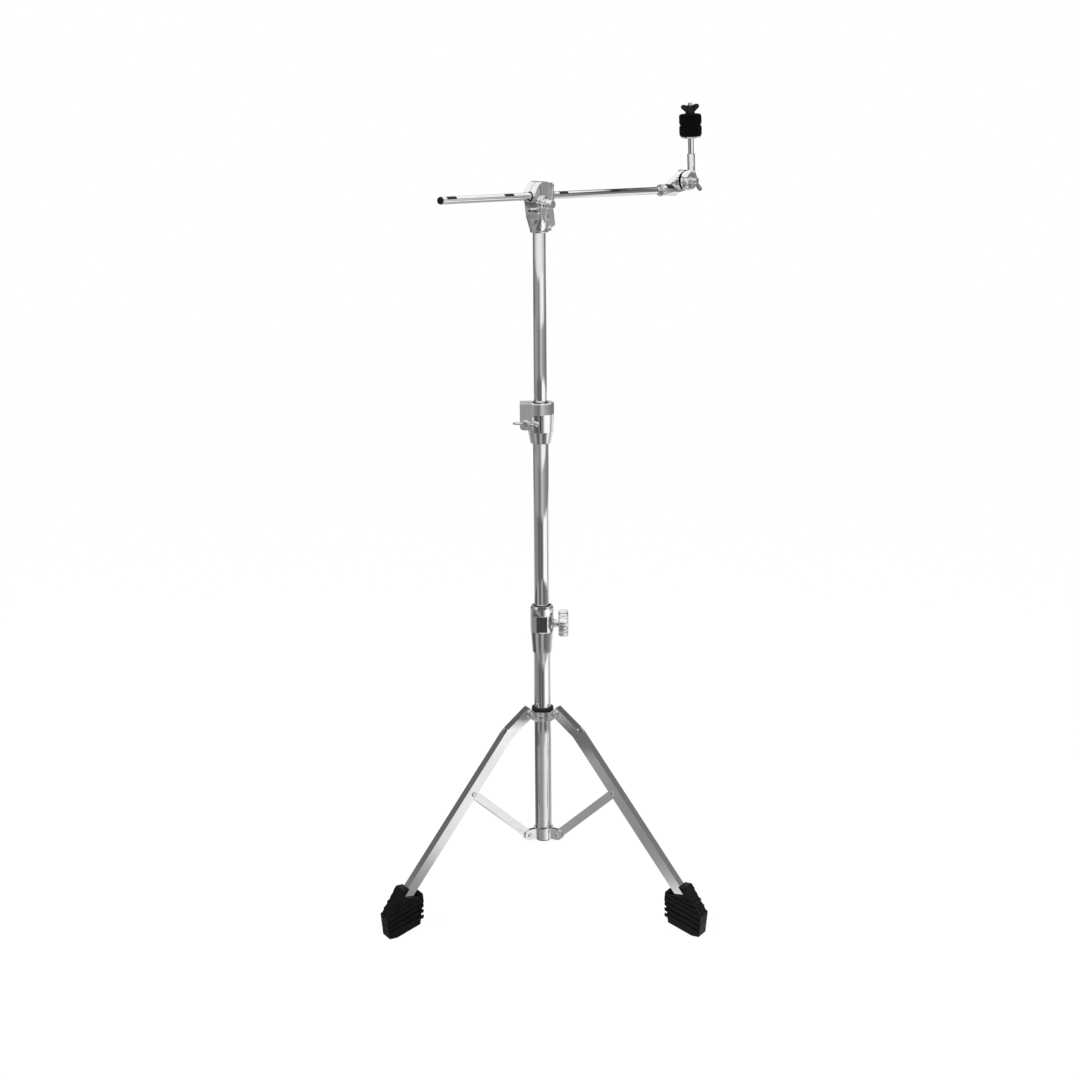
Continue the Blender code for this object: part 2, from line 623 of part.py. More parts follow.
def build_collar():
    """Sliding collar with three forks, its black bush ring and its lock screw."""
    bore = BASE_TUBE_RADIUS + COLLAR_SLIDE_GAP
    collar = turned("leg_collar", [(bore, COLLAR_TOP), (COLLAR_RADIUS, COLLAR_TOP),
                                   (COLLAR_RADIUS, COLLAR_BOTTOM), (bore, COLLAR_BOTTOM)],
                    CHROME, collar_slide, hollow=True)
    root = COLLAR_RADIUS - COLLAR_WALL / 2
    shelf = COLLAR_RADIUS + GAP
    for number, spot in enumerate(leg_axes, 1):
        below = COLLAR_BOTTOM - LEG_PIVOT_HEIGHT
        above = COLLAR_TOP - LEG_PIVOT_HEIGHT
        outline = [(root - LEG_PIVOT_RADIUS, below), (shelf - LEG_PIVOT_RADIUS, below)]
        outline += arc((0.0, 0.0), COLLAR_EAR_RADIUS, -QUARTER * 0.8, QUARTER * 1.2, 10)
        outline += [(shelf - LEG_PIVOT_RADIUS, above), (root - LEG_PIVOT_RADIUS, above)]
        fixed = axis_empty(f"collar_fork_{number}_place", collar_slide, spot.location,
                           spot.rotation_euler)
        fork = plate(f"collar_fork_{number}", outline, -COLLAR_EAR_OUTER, COLLAR_EAR_OUTER, None, fixed)
        slot_start = COLLAR_RADIUS + GAP / 2 - LEG_PIVOT_RADIUS
        slot = block(f"collar_slot_{number}", (slot_start, -COLLAR_EAR_INNER, -COLLAR_HEIGHT * 2),
                     (COLLAR_EAR_RADIUS * 2, COLLAR_EAR_INNER, COLLAR_HEIGHT * 2), None, fixed)
        hole = across(f"collar_hole_{number}", LEG_PIN_RADIUS + GAP, COLLAR_EAR_OUTER + CUT_MARGIN,
                      fixed, (0, 0, 0))
        join(collar, fork)
        cut(collar, slot)
        cut(collar, hole)
        head_pin(f"leg_pin_{number}", STEEL, fixed, (0, 0, 0), LEG_PIN_RADIUS, COLLAR_EAR_OUTER + GAP,
                 PIN_HEAD_RADIUS, PIN_HEAD_HEIGHT)

    ring_bottom = COLLAR_TOP + GAP
    ring_top = ring_bottom + BUSH_RING_HEIGHT
    edge = COLLAR_WALL / 4
    turned("collar_bush", [(bore, ring_top), (COLLAR_RADIUS - edge, ring_top),
                           (COLLAR_RADIUS, ring_top - edge), (COLLAR_RADIUS, ring_bottom + edge),
                           (COLLAR_RADIUS - edge, ring_bottom), (bore, ring_bottom)],
           NYLON, collar_slide, hollow=True)

    middle = (COLLAR_TOP + COLLAR_BOTTOM) / 2
    screw_spot = axis_empty("collar_screw_axis", collar_slide, (0, 0, middle),
                            (0, QUARTER, math.radians(COLLAR_SCREW_AZIMUTH)))
    hole = cylinder("collar_screw_hole", COLLAR_SCREW_RADIUS + GAP, BASE_TUBE_RADIUS,
                    COLLAR_RADIUS + CUT_MARGIN, None, screw_spot)
    cut(collar, hole)
    seat = COLLAR_RADIUS + GAP
    turned("collar_screw", [(0.0, seat + COLLAR_SCREW_HEAD_HEIGHT),
                            (COLLAR_SCREW_HEAD_RADIUS * 0.8, seat + COLLAR_SCREW_HEAD_HEIGHT),
                            (COLLAR_SCREW_HEAD_RADIUS, seat + COLLAR_SCREW_HEAD_HEIGHT / 2),
                            (COLLAR_SCREW_HEAD_RADIUS, seat), (COLLAR_SCREW_RADIUS, seat),
                            (COLLAR_SCREW_RADIUS, bore + GAP), (0.0, bore + GAP)],
           STEEL, screw_spot, sides=SMALL_SIDES)


def build_leg(number, leg_axis, brace_axis):
    """One bent channel leg with its brace, brace pin and rubber foot."""
    half = LEG_WIDTH / 2
    leg = plate(f"leg_{number}", leg_outline(0.0, LEG_DEPTH), -half, half, CHROME, leg_axis)
    channel = plate(f"leg_channel_{number}", leg_outline(LEG_WALL, LEG_DEPTH + CUT_MARGIN, CUT_MARGIN),
                    -half + LEG_WALL, half - LEG_WALL, None, leg_axis)
    top_hole = across(f"leg_top_hole_{number}", LEG_PIN_RADIUS + GAP, LEG_WIDTH, leg_axis, (0, 0, 0))
    joint = (BRACE_JOINT[0], 0, BRACE_JOINT[1])
    brace_hole = across(f"leg_brace_hole_{number}", BRACE_PIN_RADIUS + GAP, LEG_WIDTH, leg_axis, joint)
    cut(leg, channel)
    cut(leg, top_hole, brace_hole)

    inside = half - LEG_WALL - GAP
    head_pin(f"brace_pin_{number}", STEEL, leg_axis, joint, BRACE_PIN_RADIUS, half + GAP,
             PIN_HEAD_RADIUS, PIN_HEAD_HEIGHT,
             shoulder=(BRACE_PIN_RADIUS * 1.7, BRACE_THICKNESS / 2 + GAP, inside))

    lower = (HUB_PIVOT_RADIUS - LEG_PIVOT_RADIUS - BRACE_JOINT[0],
             HUB_PIVOT_HEIGHT - LEG_PIVOT_HEIGHT - BRACE_JOINT[1])
    end_radius = BRACE_WIDTH / 2
    brace = plate(f"brace_{number}", link_outline((0.0, 0.0), end_radius, lower, end_radius),
                  -BRACE_THICKNESS / 2, BRACE_THICKNESS / 2, CHROME, brace_axis)
    upper_hole = across(f"brace_upper_hole_{number}", BRACE_PIN_RADIUS + GAP, BRACE_WIDTH, brace_axis,
                        (0, 0, 0))
    lower_hole = across(f"brace_lower_hole_{number}", HUB_RIVET_RADIUS + GAP, BRACE_WIDTH, brace_axis,
                        (lower[0], 0, lower[1]))
    cut(brace, upper_hole, lower_hole)
    build_foot(number, leg_axis)


def foot_outline():
    """Side view of a foot, from the toe up its stepped front, over the tab and down to the heel."""
    toe = FOOT_TOE
    points = [(toe, -FOOT_DROP), (toe + 0.004, FOOT_STEP_BOTTOM - FOOT_DROP)]
    rise = (FOOT_STEP_TOP - FOOT_STEP_BOTTOM) / FOOT_STEP_COUNT
    back = (toe + 0.004 + 0.0085) / FOOT_STEP_COUNT
    x, z = points[-1]
    for step in range(FOOT_STEP_COUNT):
        points.append((x - FOOT_STEP_DEPTH, z + rise * 0.15))
        points.append((x - back + FOOT_STEP_DEPTH * 0.3, z + rise * 0.85))
        x, z = x - back, z + rise
        points.append((x + FOOT_STEP_DEPTH * 0.3, z))
    tab = FOOT_TAB_TOP - FOOT_DROP
    face_at_tab = shifted((0.0, 0.0), (LEG_RUN, -tab / math.sin(LEG_SLOPE)))
    rim = 0.0170
    face_at_rim = shifted((0.0, 0.0), (LEG_RUN, -rim / math.sin(LEG_SLOPE)))
    points += [(x - 0.005, tab), (face_at_tab[0] + GAP, tab), (face_at_rim[0] - GAP, rim)]
    heel = FOOT_TOE - FOOT_CONTACT - FOOT_HEEL
    points += [(heel + 0.0010, rim - 0.003), (heel - 0.0060, 0.0195), (heel - 0.0075, 0.0040),
               (heel - 0.0030, -0.0130), (heel, FOOT_HEEL_RISE - FOOT_DROP),
               (FOOT_TOE - FOOT_CONTACT, -FOOT_DROP)]
    return points


def build_foot(number, leg_axis):
    """A stepped rubber boot with a pocket for the leg and grooves along both sides."""
    place = axis_empty(f"foot_{number}_place", leg_axis, (LEG_END[0], 0, LEG_END[1]))
    half = FOOT_WIDTH / 2
    foot = plate(f"foot_{number}", foot_outline(), -half, half, RUBBER, place)
    far_up = FOOT_TAB_TOP * 1.3
    bottom = shifted((0.0, 0.0), (LEG_RUN, GAP), (LEG_OUT, GAP))
    top = shifted(bottom, (LEG_RUN, -far_up))
    inner_bottom = shifted(bottom, (LEG_OUT, -LEG_DEPTH - 2 * GAP))
    inner_bend = shifted(inner_bottom, (LEG_RUN, -0.012))
    mouth = FOOT_TOE - FOOT_CONTACT - FOOT_HEEL - 0.002
    pocket_outline = [bottom, top, (top[0] - 0.05, top[1]), (mouth, 0.030), (mouth + 0.002, 0.012),
                      inner_bend, inner_bottom]
    pocket = plate(f"foot_pocket_{number}", pocket_outline, -LEG_WIDTH / 2 - GAP, LEG_WIDTH / 2 + GAP,
                   None, place)
    cut(foot, pocket)
    slope = math.atan2(FOOT_HEEL_RISE, FOOT_HEEL)
    for groove in range(FOOT_GROOVE_COUNT):
        height = FOOT_GROOVE_PITCH * (groove + 1) + FOOT_HEEL_RISE / 2 - FOOT_DROP
        for side in (-1, 1):
            low = (-FOOT_WIDTH * 2, half - FOOT_GROOVE_DEPTH, 0.0)
            high = (FOOT_WIDTH * 2, half + CUT_MARGIN, FOOT_GROOVE_WIDTH)
            tool = block(f"foot_groove_{number}_{groove}_{side + 2}", low, high, None, place,
                         (-FOOT_HEEL / 2, 0, height), (0, slope, 0))
            tool.scale = (1, side, 1)
            cut(foot, tool)


def build_middle():
    """Middle tube, its clamp with bolt and wing nut, and the bush for the upper tube."""
    inner = MIDDLE_TUBE_RADIUS - MIDDLE_TUBE_WALL
    bottom = BASE_TUBE_TOP - MIDDLE_TUBE_OVERLAP
    turned("middle_tube", [(MIDDLE_TUBE_RADIUS, MIDDLE_TUBE_TOP), (MIDDLE_TUBE_RADIUS, bottom),
                           (inner, bottom), (inner, MIDDLE_TUBE_TOP)], CHROME, middle_slide, hollow=True)

    bush_bore = UPPER_TUBE_RADIUS + GAP
    bush_radius = bush_bore + BUSH_WALL
    bore = bush_radius + GAP
    tube_bore = MIDDLE_TUBE_RADIUS + GAP
    top = MIDDLE_CLAMP_BOTTOM + MIDDLE_CLAMP_HEIGHT
    head_bottom = top - MIDDLE_CLAMP_HEAD_HEIGHT
    step = MIDDLE_TUBE_TOP + GAP
    head = bore + MIDDLE_CLAMP_WALL
    skirt = tube_bore + MIDDLE_CLAMP_SKIRT_WALL
    waist = (head + skirt) / 2 + CLAMP_GROOVE_DEPTH
    groove = head - CLAMP_GROOVE_DEPTH
    profile = [
        (bore, top), (head - CLAMP_CHAMFER / 4, top), (head, top - CLAMP_CHAMFER / 4),
        (head, head_bottom), (groove, head_bottom), (groove, head_bottom - CLAMP_GROOVE_WIDTH),
        (head, head_bottom - CLAMP_GROOVE_WIDTH), (waist, MIDDLE_CLAMP_BOTTOM + CLAMP_GRIP * 0.55),
        (skirt, MIDDLE_CLAMP_BOTTOM), (tube_bore, MIDDLE_CLAMP_BOTTOM), (tube_bore, step), (bore, step)]
    clamp = turned("middle_clamp", profile, CHROME, middle_slide, hollow=True)

    lug_outline = [(-bore - GAP, LUG_BOTTOM), (-bore - GAP, top - GAP), (-LUG_REACH, top - GAP)]
    lug_outline += arc((-LUG_REACH + 0.006, LUG_BOTTOM + 0.006), 0.006, math.pi, math.pi * 1.5, 4)
    lugs = plate("middle_clamp_lugs", lug_outline, -LUG_WIDTH / 2, LUG_WIDTH / 2, None, middle_slide)
    slit = block("middle_clamp_slit", (-LUG_REACH * 1.5, -LUG_SLIT / 2, LUG_BOTTOM - CUT_MARGIN),
                 (-bore + CUT_MARGIN / 4, LUG_SLIT / 2, top + CUT_MARGIN), None, middle_slide)
    hole = across("middle_clamp_hole", LUG_BOLT_RADIUS + GAP, LUG_WIDTH, middle_slide,
                  (-LUG_BOLT_REACH, 0, LUG_BOLT_HEIGHT))
    join(clamp, lugs)
    cut(clamp, slit)
    cut(clamp, hole)

    turned("upper_bush", [(bush_bore, top - GAP), (bush_radius, top - GAP), (bush_radius, step + GAP),
                          (bush_bore, step + GAP)], NYLON, upper_turn, hollow=True)

    lug_face = LUG_WIDTH / 2 + GAP
    nut_height = 0.0110
    hex_bolt("middle_clamp_bolt", STEEL, middle_slide, (-LUG_BOLT_REACH, lug_face, LUG_BOLT_HEIGHT),
             (-QUARTER, 0, 0), LUG_BOLT_RADIUS, 2 * lug_face + nut_height + 0.001, 0.0058, 0.0042)
    nut_axis = axis_empty("middle_wing_nut_axis", middle_slide, (-LUG_BOLT_REACH, -lug_face, LUG_BOLT_HEIGHT),
                          (QUARTER, 0, 0))
    wing_nut("middle_wing_nut", CHROME, nut_axis, (0, 0, 0), (0, 0, math.radians(-6)), 0.0062, nut_height,
             LUG_BOLT_RADIUS + GAP, 0.0215, 0.0090, 0.0030)


def build_upper():
    """Upper tube, the yoke that carries the boom and the yoke's set screw."""
    inner = UPPER_TUBE_RADIUS - UPPER_TUBE_WALL
    bottom = MIDDLE_TUBE_TOP - UPPER_TUBE_OVERLAP
    top = YOKE_BOTTOM + YOKE_SOCKET
    turned("upper_tube", [(UPPER_TUBE_RADIUS, top), (UPPER_TUBE_RADIUS, bottom), (inner, bottom),
                          (inner, top)], CHROME, upper_slide, hollow=True)

    bore = UPPER_TUBE_RADIUS + GAP
    sleeve = bore + YOKE_WALL
    web = ARM_BOLT_HEIGHT - YOKE_WEB_BELOW_BOLT
    place = axis_empty("yoke_place", upper_slide, (0, 0, 0), (0, 0, BOOM_AZIMUTH))
    funnel_top = web - YOKE_FUNNEL_BELOW_WEB
    yoke = turned("boom_yoke", [(0.0, funnel_top), (YOKE_CHEEK_OUTER + YOKE_LIP, funnel_top),
                                (sleeve, YOKE_BOTTOM + YOKE_SLEEVE), (sleeve, YOKE_BOTTOM),
                                (0.0, YOKE_BOTTOM)], CHROME, place)
    pivot = (0.0, ARM_BOLT_HEIGHT)
    root = funnel_top - YOKE_FUNNEL_BELOW_WEB
    cheek_outline = [(-YOKE_CHEEK_FOOT, root), (YOKE_CHEEK_FOOT, root)]
    cheek_outline += arc(pivot, YOKE_CHEEK_RADIUS, 0.0, math.pi, 12)
    cheeks = plate("boom_yoke_cheeks", cheek_outline, -YOKE_CHEEK_OUTER, YOKE_CHEEK_OUTER, None, place)
    slot = block("boom_yoke_slot", (-2 * sleeve, -YOKE_CHEEK_INNER, web),
                 (2 * sleeve, YOKE_CHEEK_INNER, ARM_HEIGHT * 1.1), None, place)
    socket = cylinder("boom_yoke_socket", bore, YOKE_BOTTOM - CUT_MARGIN, top + GAP, None, place,
                      sides=ROUND_SIDES)
    hole = across("boom_yoke_hole", HINGE_BOLT_RADIUS + GAP, YOKE_CHEEK_OUTER + CUT_MARGIN, place,
                  (0, 0, ARM_BOLT_HEIGHT))
    join(yoke, cheeks)
    cut(yoke, slot)
    cut(yoke, socket, hole)

    screw_height = YOKE_BOTTOM + YOKE_SCREW_HEAD_RADIUS + 0.002
    screw_spot = axis_empty("yoke_screw_axis", upper_slide, (0, 0, screw_height),
                            (0, QUARTER, math.radians(YOKE_SCREW_AZIMUTH)))
    screw_hole = cylinder("yoke_screw_hole", YOKE_SCREW_RADIUS + GAP, UPPER_TUBE_RADIUS,
                          sleeve + CUT_MARGIN, None, screw_spot)
    cut(yoke, screw_hole)
    seat = sleeve + GAP
    turned("yoke_screw", [(0.0, seat + YOKE_SCREW_HEAD_HEIGHT),
                          (YOKE_SCREW_HEAD_RADIUS * 0.85, seat + YOKE_SCREW_HEAD_HEIGHT),
                          (YOKE_SCREW_HEAD_RADIUS, seat + YOKE_SCREW_HEAD_HEIGHT * 0.8),
                          (YOKE_SCREW_HEAD_RADIUS, seat), (YOKE_SCREW_RADIUS, seat),
                          (YOKE_SCREW_RADIUS, bore + GAP), (0.0, bore + GAP)],
           STEEL, screw_spot, sides=SMALL_SIDES)


def build_holder():
    """The two halves that grip the boom arm, the hinge bolt through them and its long wing nut."""
    outline = link_outline((0.0, 0.0), HOLDER_BOTTOM_RADIUS, (0.0, HOLDER_TOP_ABOVE_BOLT),
                           HOLDER_TOP_RADIUS, steps=14)
    for mark, near, far in (("rear", HOLDER_SPLIT, HOLDER_OUTER), ("front", -HOLDER_OUTER, -HOLDER_SPLIT)):
        half = plate(f"holder_{mark}", outline, near, far, CHROME, tilt_axis)
        bevel = half.modifiers.new("rounded edge", "BEVEL")
        bevel.width = HOLDER_EDGE
        bevel.segments = 2
        bevel.limit_method = "VGROUP"
        outer_face = HOLDER_OUTER if mark == "rear" else -HOLDER_OUTER
        edge_group = half.vertex_groups.new(name="outer edge")
        edge_group.add([vert.index for vert in half.data.vertices if abs(vert.co.y - outer_face) < GAP],
                       1.0, "REPLACE")
        bevel.vertex_group = "outer edge"
        groove = cylinder(f"holder_groove_{mark}", LINER_RADIUS + GAP, -HOLDER_TOP_RADIUS * 1.2,
                          HOLDER_TOP_RADIUS * 1.2, None, tilt_axis, (0, 0, ARM_ABOVE_BOLT),
                          (0, QUARTER, 0), ROUND_SIDES)
        hole = across(f"holder_hole_{mark}", HINGE_BOLT_RADIUS + GAP, HOLDER_OUTER * 2, tilt_axis, (0, 0, 0))
        cut(half, groove, hole)

    face = YOKE_CHEEK_OUTER + GAP
    nut_height = 0.0120
    hex_bolt("hinge_bolt", STEEL, tilt_axis, (0, face, 0), (-QUARTER, 0, 0), HINGE_BOLT_RADIUS,
             2 * face + nut_height + 0.001, 0.0068, 0.0048)
    nut_axis = axis_empty("boom_wing_nut_axis", tilt_axis, (0, -face, 0), (QUARTER, 0, 0))
    wing_nut("boom_wing_nut", CHROME, nut_axis, (0, 0, 0), (0, 0, QUARTER + math.radians(4)), 0.0085,
             nut_height, HINGE_BOLT_RADIUS + GAP, 0.0365, 0.0085, 0.0036)

    liner_bore = ARM_RADIUS + GAP
    liner_reach = HOLDER_TOP_RADIUS - 0.002
    turned("arm_liner", [(liner_bore, liner_reach), (LINER_RADIUS, liner_reach),
                         (LINER_RADIUS, -liner_reach), (liner_bore, -liner_reach)],
           NYLON, arm_turn, (0, 0, 0), (0, QUARTER, 0), hollow=True)


def build_arm():
    """The boom arm and the cap in its left end."""
    inner = ARM_RADIUS - ARM_WALL
    turned("boom_arm", [(ARM_RADIUS, ARM_RIGHT), (ARM_RADIUS, -ARM_LEFT), (inner, -ARM_LEFT),
                        (inner, ARM_RIGHT)], CHROME, arm_slide, (0, 0, 0), (0, QUARTER, 0), hollow=True)
    edge = -ARM_LEFT - GAP
    stem = inner - GAP
    turned("arm_cap", [(0.0, edge + ARM_CAP_STEM), (stem, edge + ARM_CAP_STEM), (stem, edge),
                       (ARM_RADIUS, edge), (ARM_RADIUS * 0.85, edge - ARM_CAP_FLANGE),
                       (0.0, edge - ARM_CAP_FLANGE)], BLACK_PLASTIC, arm_slide, (0, 0, 0), (0, QUARTER, 0))


def build_tilter():
    """Socket on the arm with the rear toothed disc, and the front disc that carries the rod."""
    bore = ARM_RADIUS + GAP
    sleeve = bore + SOCKET_WALL
    end = SOCKET_START + SOCKET_LENGTH
    socket = turned("tilter_socket", [(0.0, end), (sleeve, end), (sleeve, SOCKET_START),
                                      (0.0, SOCKET_START)], CHROME, arm_slide, (0, 0, 0), (0, QUARTER, 0))
    pivot = (TILTER_REACH, TILTER_RISE)
    neck_outline = link_outline((end - sleeve, 0.0), sleeve * 0.9, pivot, TILTER_DISC_RADIUS, steps=12)
    neck = plate("tilter_neck", neck_outline, TILTER_SPLIT, TILTER_FACE, None, arm_slide)
    arm_room = cylinder("tilter_arm_room", bore, SOCKET_START - CUT_MARGIN, ARM_RIGHT + GAP, None,
                        arm_slide, (0, 0, 0), (0, QUARTER, 0), ROUND_SIDES)
    hole = across("tilter_socket_hole", TILTER_BOLT_RADIUS + GAP, TILTER_FACE + CUT_MARGIN, arm_slide,
                  (pivot[0], 0, pivot[1]))
    join(socket, neck)
    cut(socket, arm_room, hole)

    screw_at = SOCKET_START + SOCKET_LENGTH * 0.28
    screw_spot = axis_empty("socket_screw_axis", arm_slide, (screw_at, 0, 0), (-QUARTER, 0, 0))
    screw_hole = cylinder("socket_screw_hole", SOCKET_SCREW_RADIUS + GAP, ARM_RADIUS, sleeve + CUT_MARGIN,
                          None, screw_spot)
    cut(socket, screw_hole)
    seat = sleeve + GAP
    turned("socket_screw", [(0.0, seat + SOCKET_SCREW_HEAD_HEIGHT),
                            (SOCKET_SCREW_HEAD_RADIUS * 0.85, seat + SOCKET_SCREW_HEAD_HEIGHT),
                            (SOCKET_SCREW_HEAD_RADIUS, seat), (SOCKET_SCREW_RADIUS, seat),
                            (SOCKET_SCREW_RADIUS, bore + GAP), (0.0, bore + GAP)],
           STEEL, screw_spot, sides=SMALL_SIDES)

    head = turned("tilter_head", [(0.0, -TILTER_SPLIT), (TILTER_DISC_RADIUS, -TILTER_SPLIT),
                                  (TILTER_DISC_RADIUS, -TILTER_FACE + HOLDER_EDGE),
                                  (TILTER_DISC_RADIUS - HOLDER_EDGE, -TILTER_FACE), (0.0, -TILTER_FACE)],
                  CHROME, tilter_axis, (0, 0, 0), (-QUARTER, 0, 0))
    rod_place = (ROD_OFFSET, -(TILTER_SPLIT + TILTER_DISC_THICKNESS / 2), 0)
    boss_radius = ROD_RADIUS + GAP + ROD_BOSS_WALL
    boss = cylinder("tilter_boss", boss_radius, TILTER_DISC_RADIUS * 0.4, ROD_BOSS_TOP, None, tilter_axis,
                    rod_place)
    rod_hole = cylinder("tilter_rod_hole", ROD_RADIUS + GAP, ROD_BOTTOM - GAP, ROD_BOSS_TOP + CUT_MARGIN,
                        None, tilter_axis, rod_place)
    bolt_hole = across("tilter_head_hole", TILTER_BOLT_RADIUS + GAP, TILTER_FACE + CUT_MARGIN,
                       tilter_axis, (0, 0, 0))
    join(head, boss)
    cut(head, rod_hole, bolt_hole)

    face = TILTER_FACE + GAP
    nut_height = 0.0110
    hex_bolt("tilter_bolt", STEEL, arm_slide, (pivot[0], face, pivot[1]), (-QUARTER, 0, 0),
             TILTER_BOLT_RADIUS, 2 * face + nut_height + 0.001, 0.0058, 0.0042)
    wing_nut("tilter_wing_nut", CHROME, tilter_nut_axis, (0, 0, 0), (0, 0, math.radians(-55)), 0.0064,
             nut_height, TILTER_BOLT_RADIUS + GAP, 0.0220, 0.0090, 0.0030)
    build_rod(rod_place)


def build_rod(place):
    """Cymbal rod with its seat, two felts and the black wing nut on top."""
    tip = 0.0008
    turned("cymbal_rod", [(0.0, ROD_TOP), (ROD_RADIUS - tip, ROD_TOP), (ROD_RADIUS, ROD_TOP - tip),
                          (ROD_RADIUS, ROD_BOTTOM), (0.0, ROD_BOTTOM)], STEEL, tilter_axis, place,
           sides=SMALL_SIDES)
    bore = ROD_RADIUS + GAP
    stem = bore + SEAT_STEM_WALL
    seat_bottom = ROD_BOSS_TOP + GAP
    flange_bottom = seat_bottom + SEAT_STEM_LENGTH
    flange_top = flange_bottom + SEAT_FLANGE_HEIGHT
    felt_top = flange_top + 2 * (FELT_HEIGHT + GAP)
    turned("cymbal_seat", [
        (bore, felt_top - FELT_EDGE), (stem, felt_top - FELT_EDGE), (stem, flange_top),
        (SEAT_FLANGE_RADIUS, flange_top), (SEAT_FLANGE_RADIUS * 0.9, flange_bottom),
        (stem, flange_bottom), (stem, seat_bottom), (bore, seat_bottom)],
           CHROME, tilter_axis, place, hollow=True)
    felt_bore = stem + GAP
    for mark, level in (("lower", 0), ("upper", 1)):
        low = flange_top + GAP + level * (FELT_HEIGHT + GAP)
        high = low + FELT_HEIGHT
        round_edge = FELT_RADIUS - FELT_EDGE
        outer = [(round_edge, high), (FELT_RADIUS, high - FELT_EDGE), (FELT_RADIUS, low + FELT_EDGE),
                 (round_edge, low)]
        turned(f"{mark}_felt", [(felt_bore, high)] + outer + [(felt_bore, low)], FELT, tilter_axis, place,
               hollow=True)
    top_nut_axis.location = (place[0], place[1], felt_top + GAP)
    wing_nut("top_wing_nut", BLACK_PLASTIC, top_nut_axis, (0, 0, 0), (0, 0, math.radians(-20)),
             TOP_NUT_RADIUS, TOP_NUT_HEIGHT, ROD_RADIUS + GAP, 0.0175, 0.0085, 0.0052)


column = axis_empty("column", None, (COLUMN_X, COLUMN_Y, 0))
collar_slide = axis_empty("collar_slide", column)
middle_turn = axis_empty("middle_turn", column)
middle_slide = axis_empty("middle_slide", middle_turn)
upper_turn = axis_empty("upper_turn", middle_slide)
upper_slide = axis_empty("upper_slide", upper_turn)
tilt_axis = axis_empty("tilt_axis", upper_slide, (0, 0, ARM_BOLT_HEIGHT), (0, BOOM_TILT, BOOM_AZIMUTH))
arm_turn = axis_empty("arm_turn", tilt_axis, (0, 0, ARM_ABOVE_BOLT))
arm_slide = axis_empty("arm_slide", arm_turn)
tilter_axis = axis_empty("tilter_axis", arm_slide, (TILTER_REACH, 0, TILTER_RISE), (0, -ROD_LEAN, 0))
tilter_nut_axis = axis_empty("tilter_nut_axis", arm_slide,
                             (TILTER_REACH, -TILTER_FACE - GAP, TILTER_RISE), (QUARTER, 0, 0))
top_nut_axis = axis_empty("top_nut_axis", tilter_axis)

leg_axes = []
brace_axes = []
for leg_number, leg_azimuth in enumerate(LEG_AZIMUTHS, 1):
    turn = math.radians(leg_azimuth)
    pivot_place = (LEG_PIVOT_RADIUS * math.cos(turn), LEG_PIVOT_RADIUS * math.sin(turn), LEG_PIVOT_HEIGHT)
    hinge = axis_empty(f"leg_{leg_number}_axis", collar_slide, pivot_place, (0, 0, turn))
    leg_axes.append(hinge)
    brace_axes.append(axis_empty(f"brace_{leg_number}_axis", hinge, (BRACE_JOINT[0], 0, BRACE_JOINT[1])))

build_base()
build_lower_clamp()
build_collar()
for leg_number, (leg_hinge, brace_hinge) in enumerate(zip(leg_axes, brace_axes), 1):
    build_leg(leg_number, leg_hinge, brace_hinge)
build_middle()
build_upper()
build_holder()
build_arm()
build_tilter()
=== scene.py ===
"""Looks of the cymbal boom stand: mirror plating, rubber feet, black felts and a white studio."""

import json
import math

import bmesh
import bpy
from mathutils import Matrix, Vector
from mathutils.noise import turbulence


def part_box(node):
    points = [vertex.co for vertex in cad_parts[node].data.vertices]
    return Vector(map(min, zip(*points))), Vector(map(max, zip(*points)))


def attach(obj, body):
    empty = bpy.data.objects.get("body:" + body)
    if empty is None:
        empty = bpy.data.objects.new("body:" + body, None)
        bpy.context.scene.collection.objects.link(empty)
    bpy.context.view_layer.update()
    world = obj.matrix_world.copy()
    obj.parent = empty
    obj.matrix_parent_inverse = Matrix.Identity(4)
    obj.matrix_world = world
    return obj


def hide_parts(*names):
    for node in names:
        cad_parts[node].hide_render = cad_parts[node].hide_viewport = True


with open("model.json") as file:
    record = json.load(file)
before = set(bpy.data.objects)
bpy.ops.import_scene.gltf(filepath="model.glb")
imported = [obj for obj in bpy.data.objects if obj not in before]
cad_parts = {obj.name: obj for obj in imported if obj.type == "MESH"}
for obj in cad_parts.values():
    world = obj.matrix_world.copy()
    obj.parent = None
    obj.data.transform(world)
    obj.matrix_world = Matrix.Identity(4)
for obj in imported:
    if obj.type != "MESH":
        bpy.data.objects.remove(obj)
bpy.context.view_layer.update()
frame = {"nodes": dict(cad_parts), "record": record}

# Picture: the camera's place is measured from the foot of the column
PHOTO_WIDTH_PX = 1079
FOCAL_PX = 2151.7
CENTRE_OFFSET_PX = 1.9
CAMERA_DISTANCE = 3.600
CAMERA_HEIGHT = 1.5495
CAMERA_PITCH = math.radians(13.815)
CAMERA_ROLL = math.radians(0.42)
SENSOR_MM = 36.0

# Studio
FLOOR_SIZE = 14.0
FLOOR_DROP = 0.0004
FLOOR_GLOW = 1.02
FLOOR_GLOW_SHARE = 0.95
REFLECTOR_RADIUS = 2.6
REFLECTOR_INNER = 0.002
REFLECTOR_DROP = 0.0002
REFLECTOR_HEIGHT = 2.7
REFLECTOR_SIDES = 96
ZONE_BLEND = 0.04
SCREEN_SWAY = 0.010

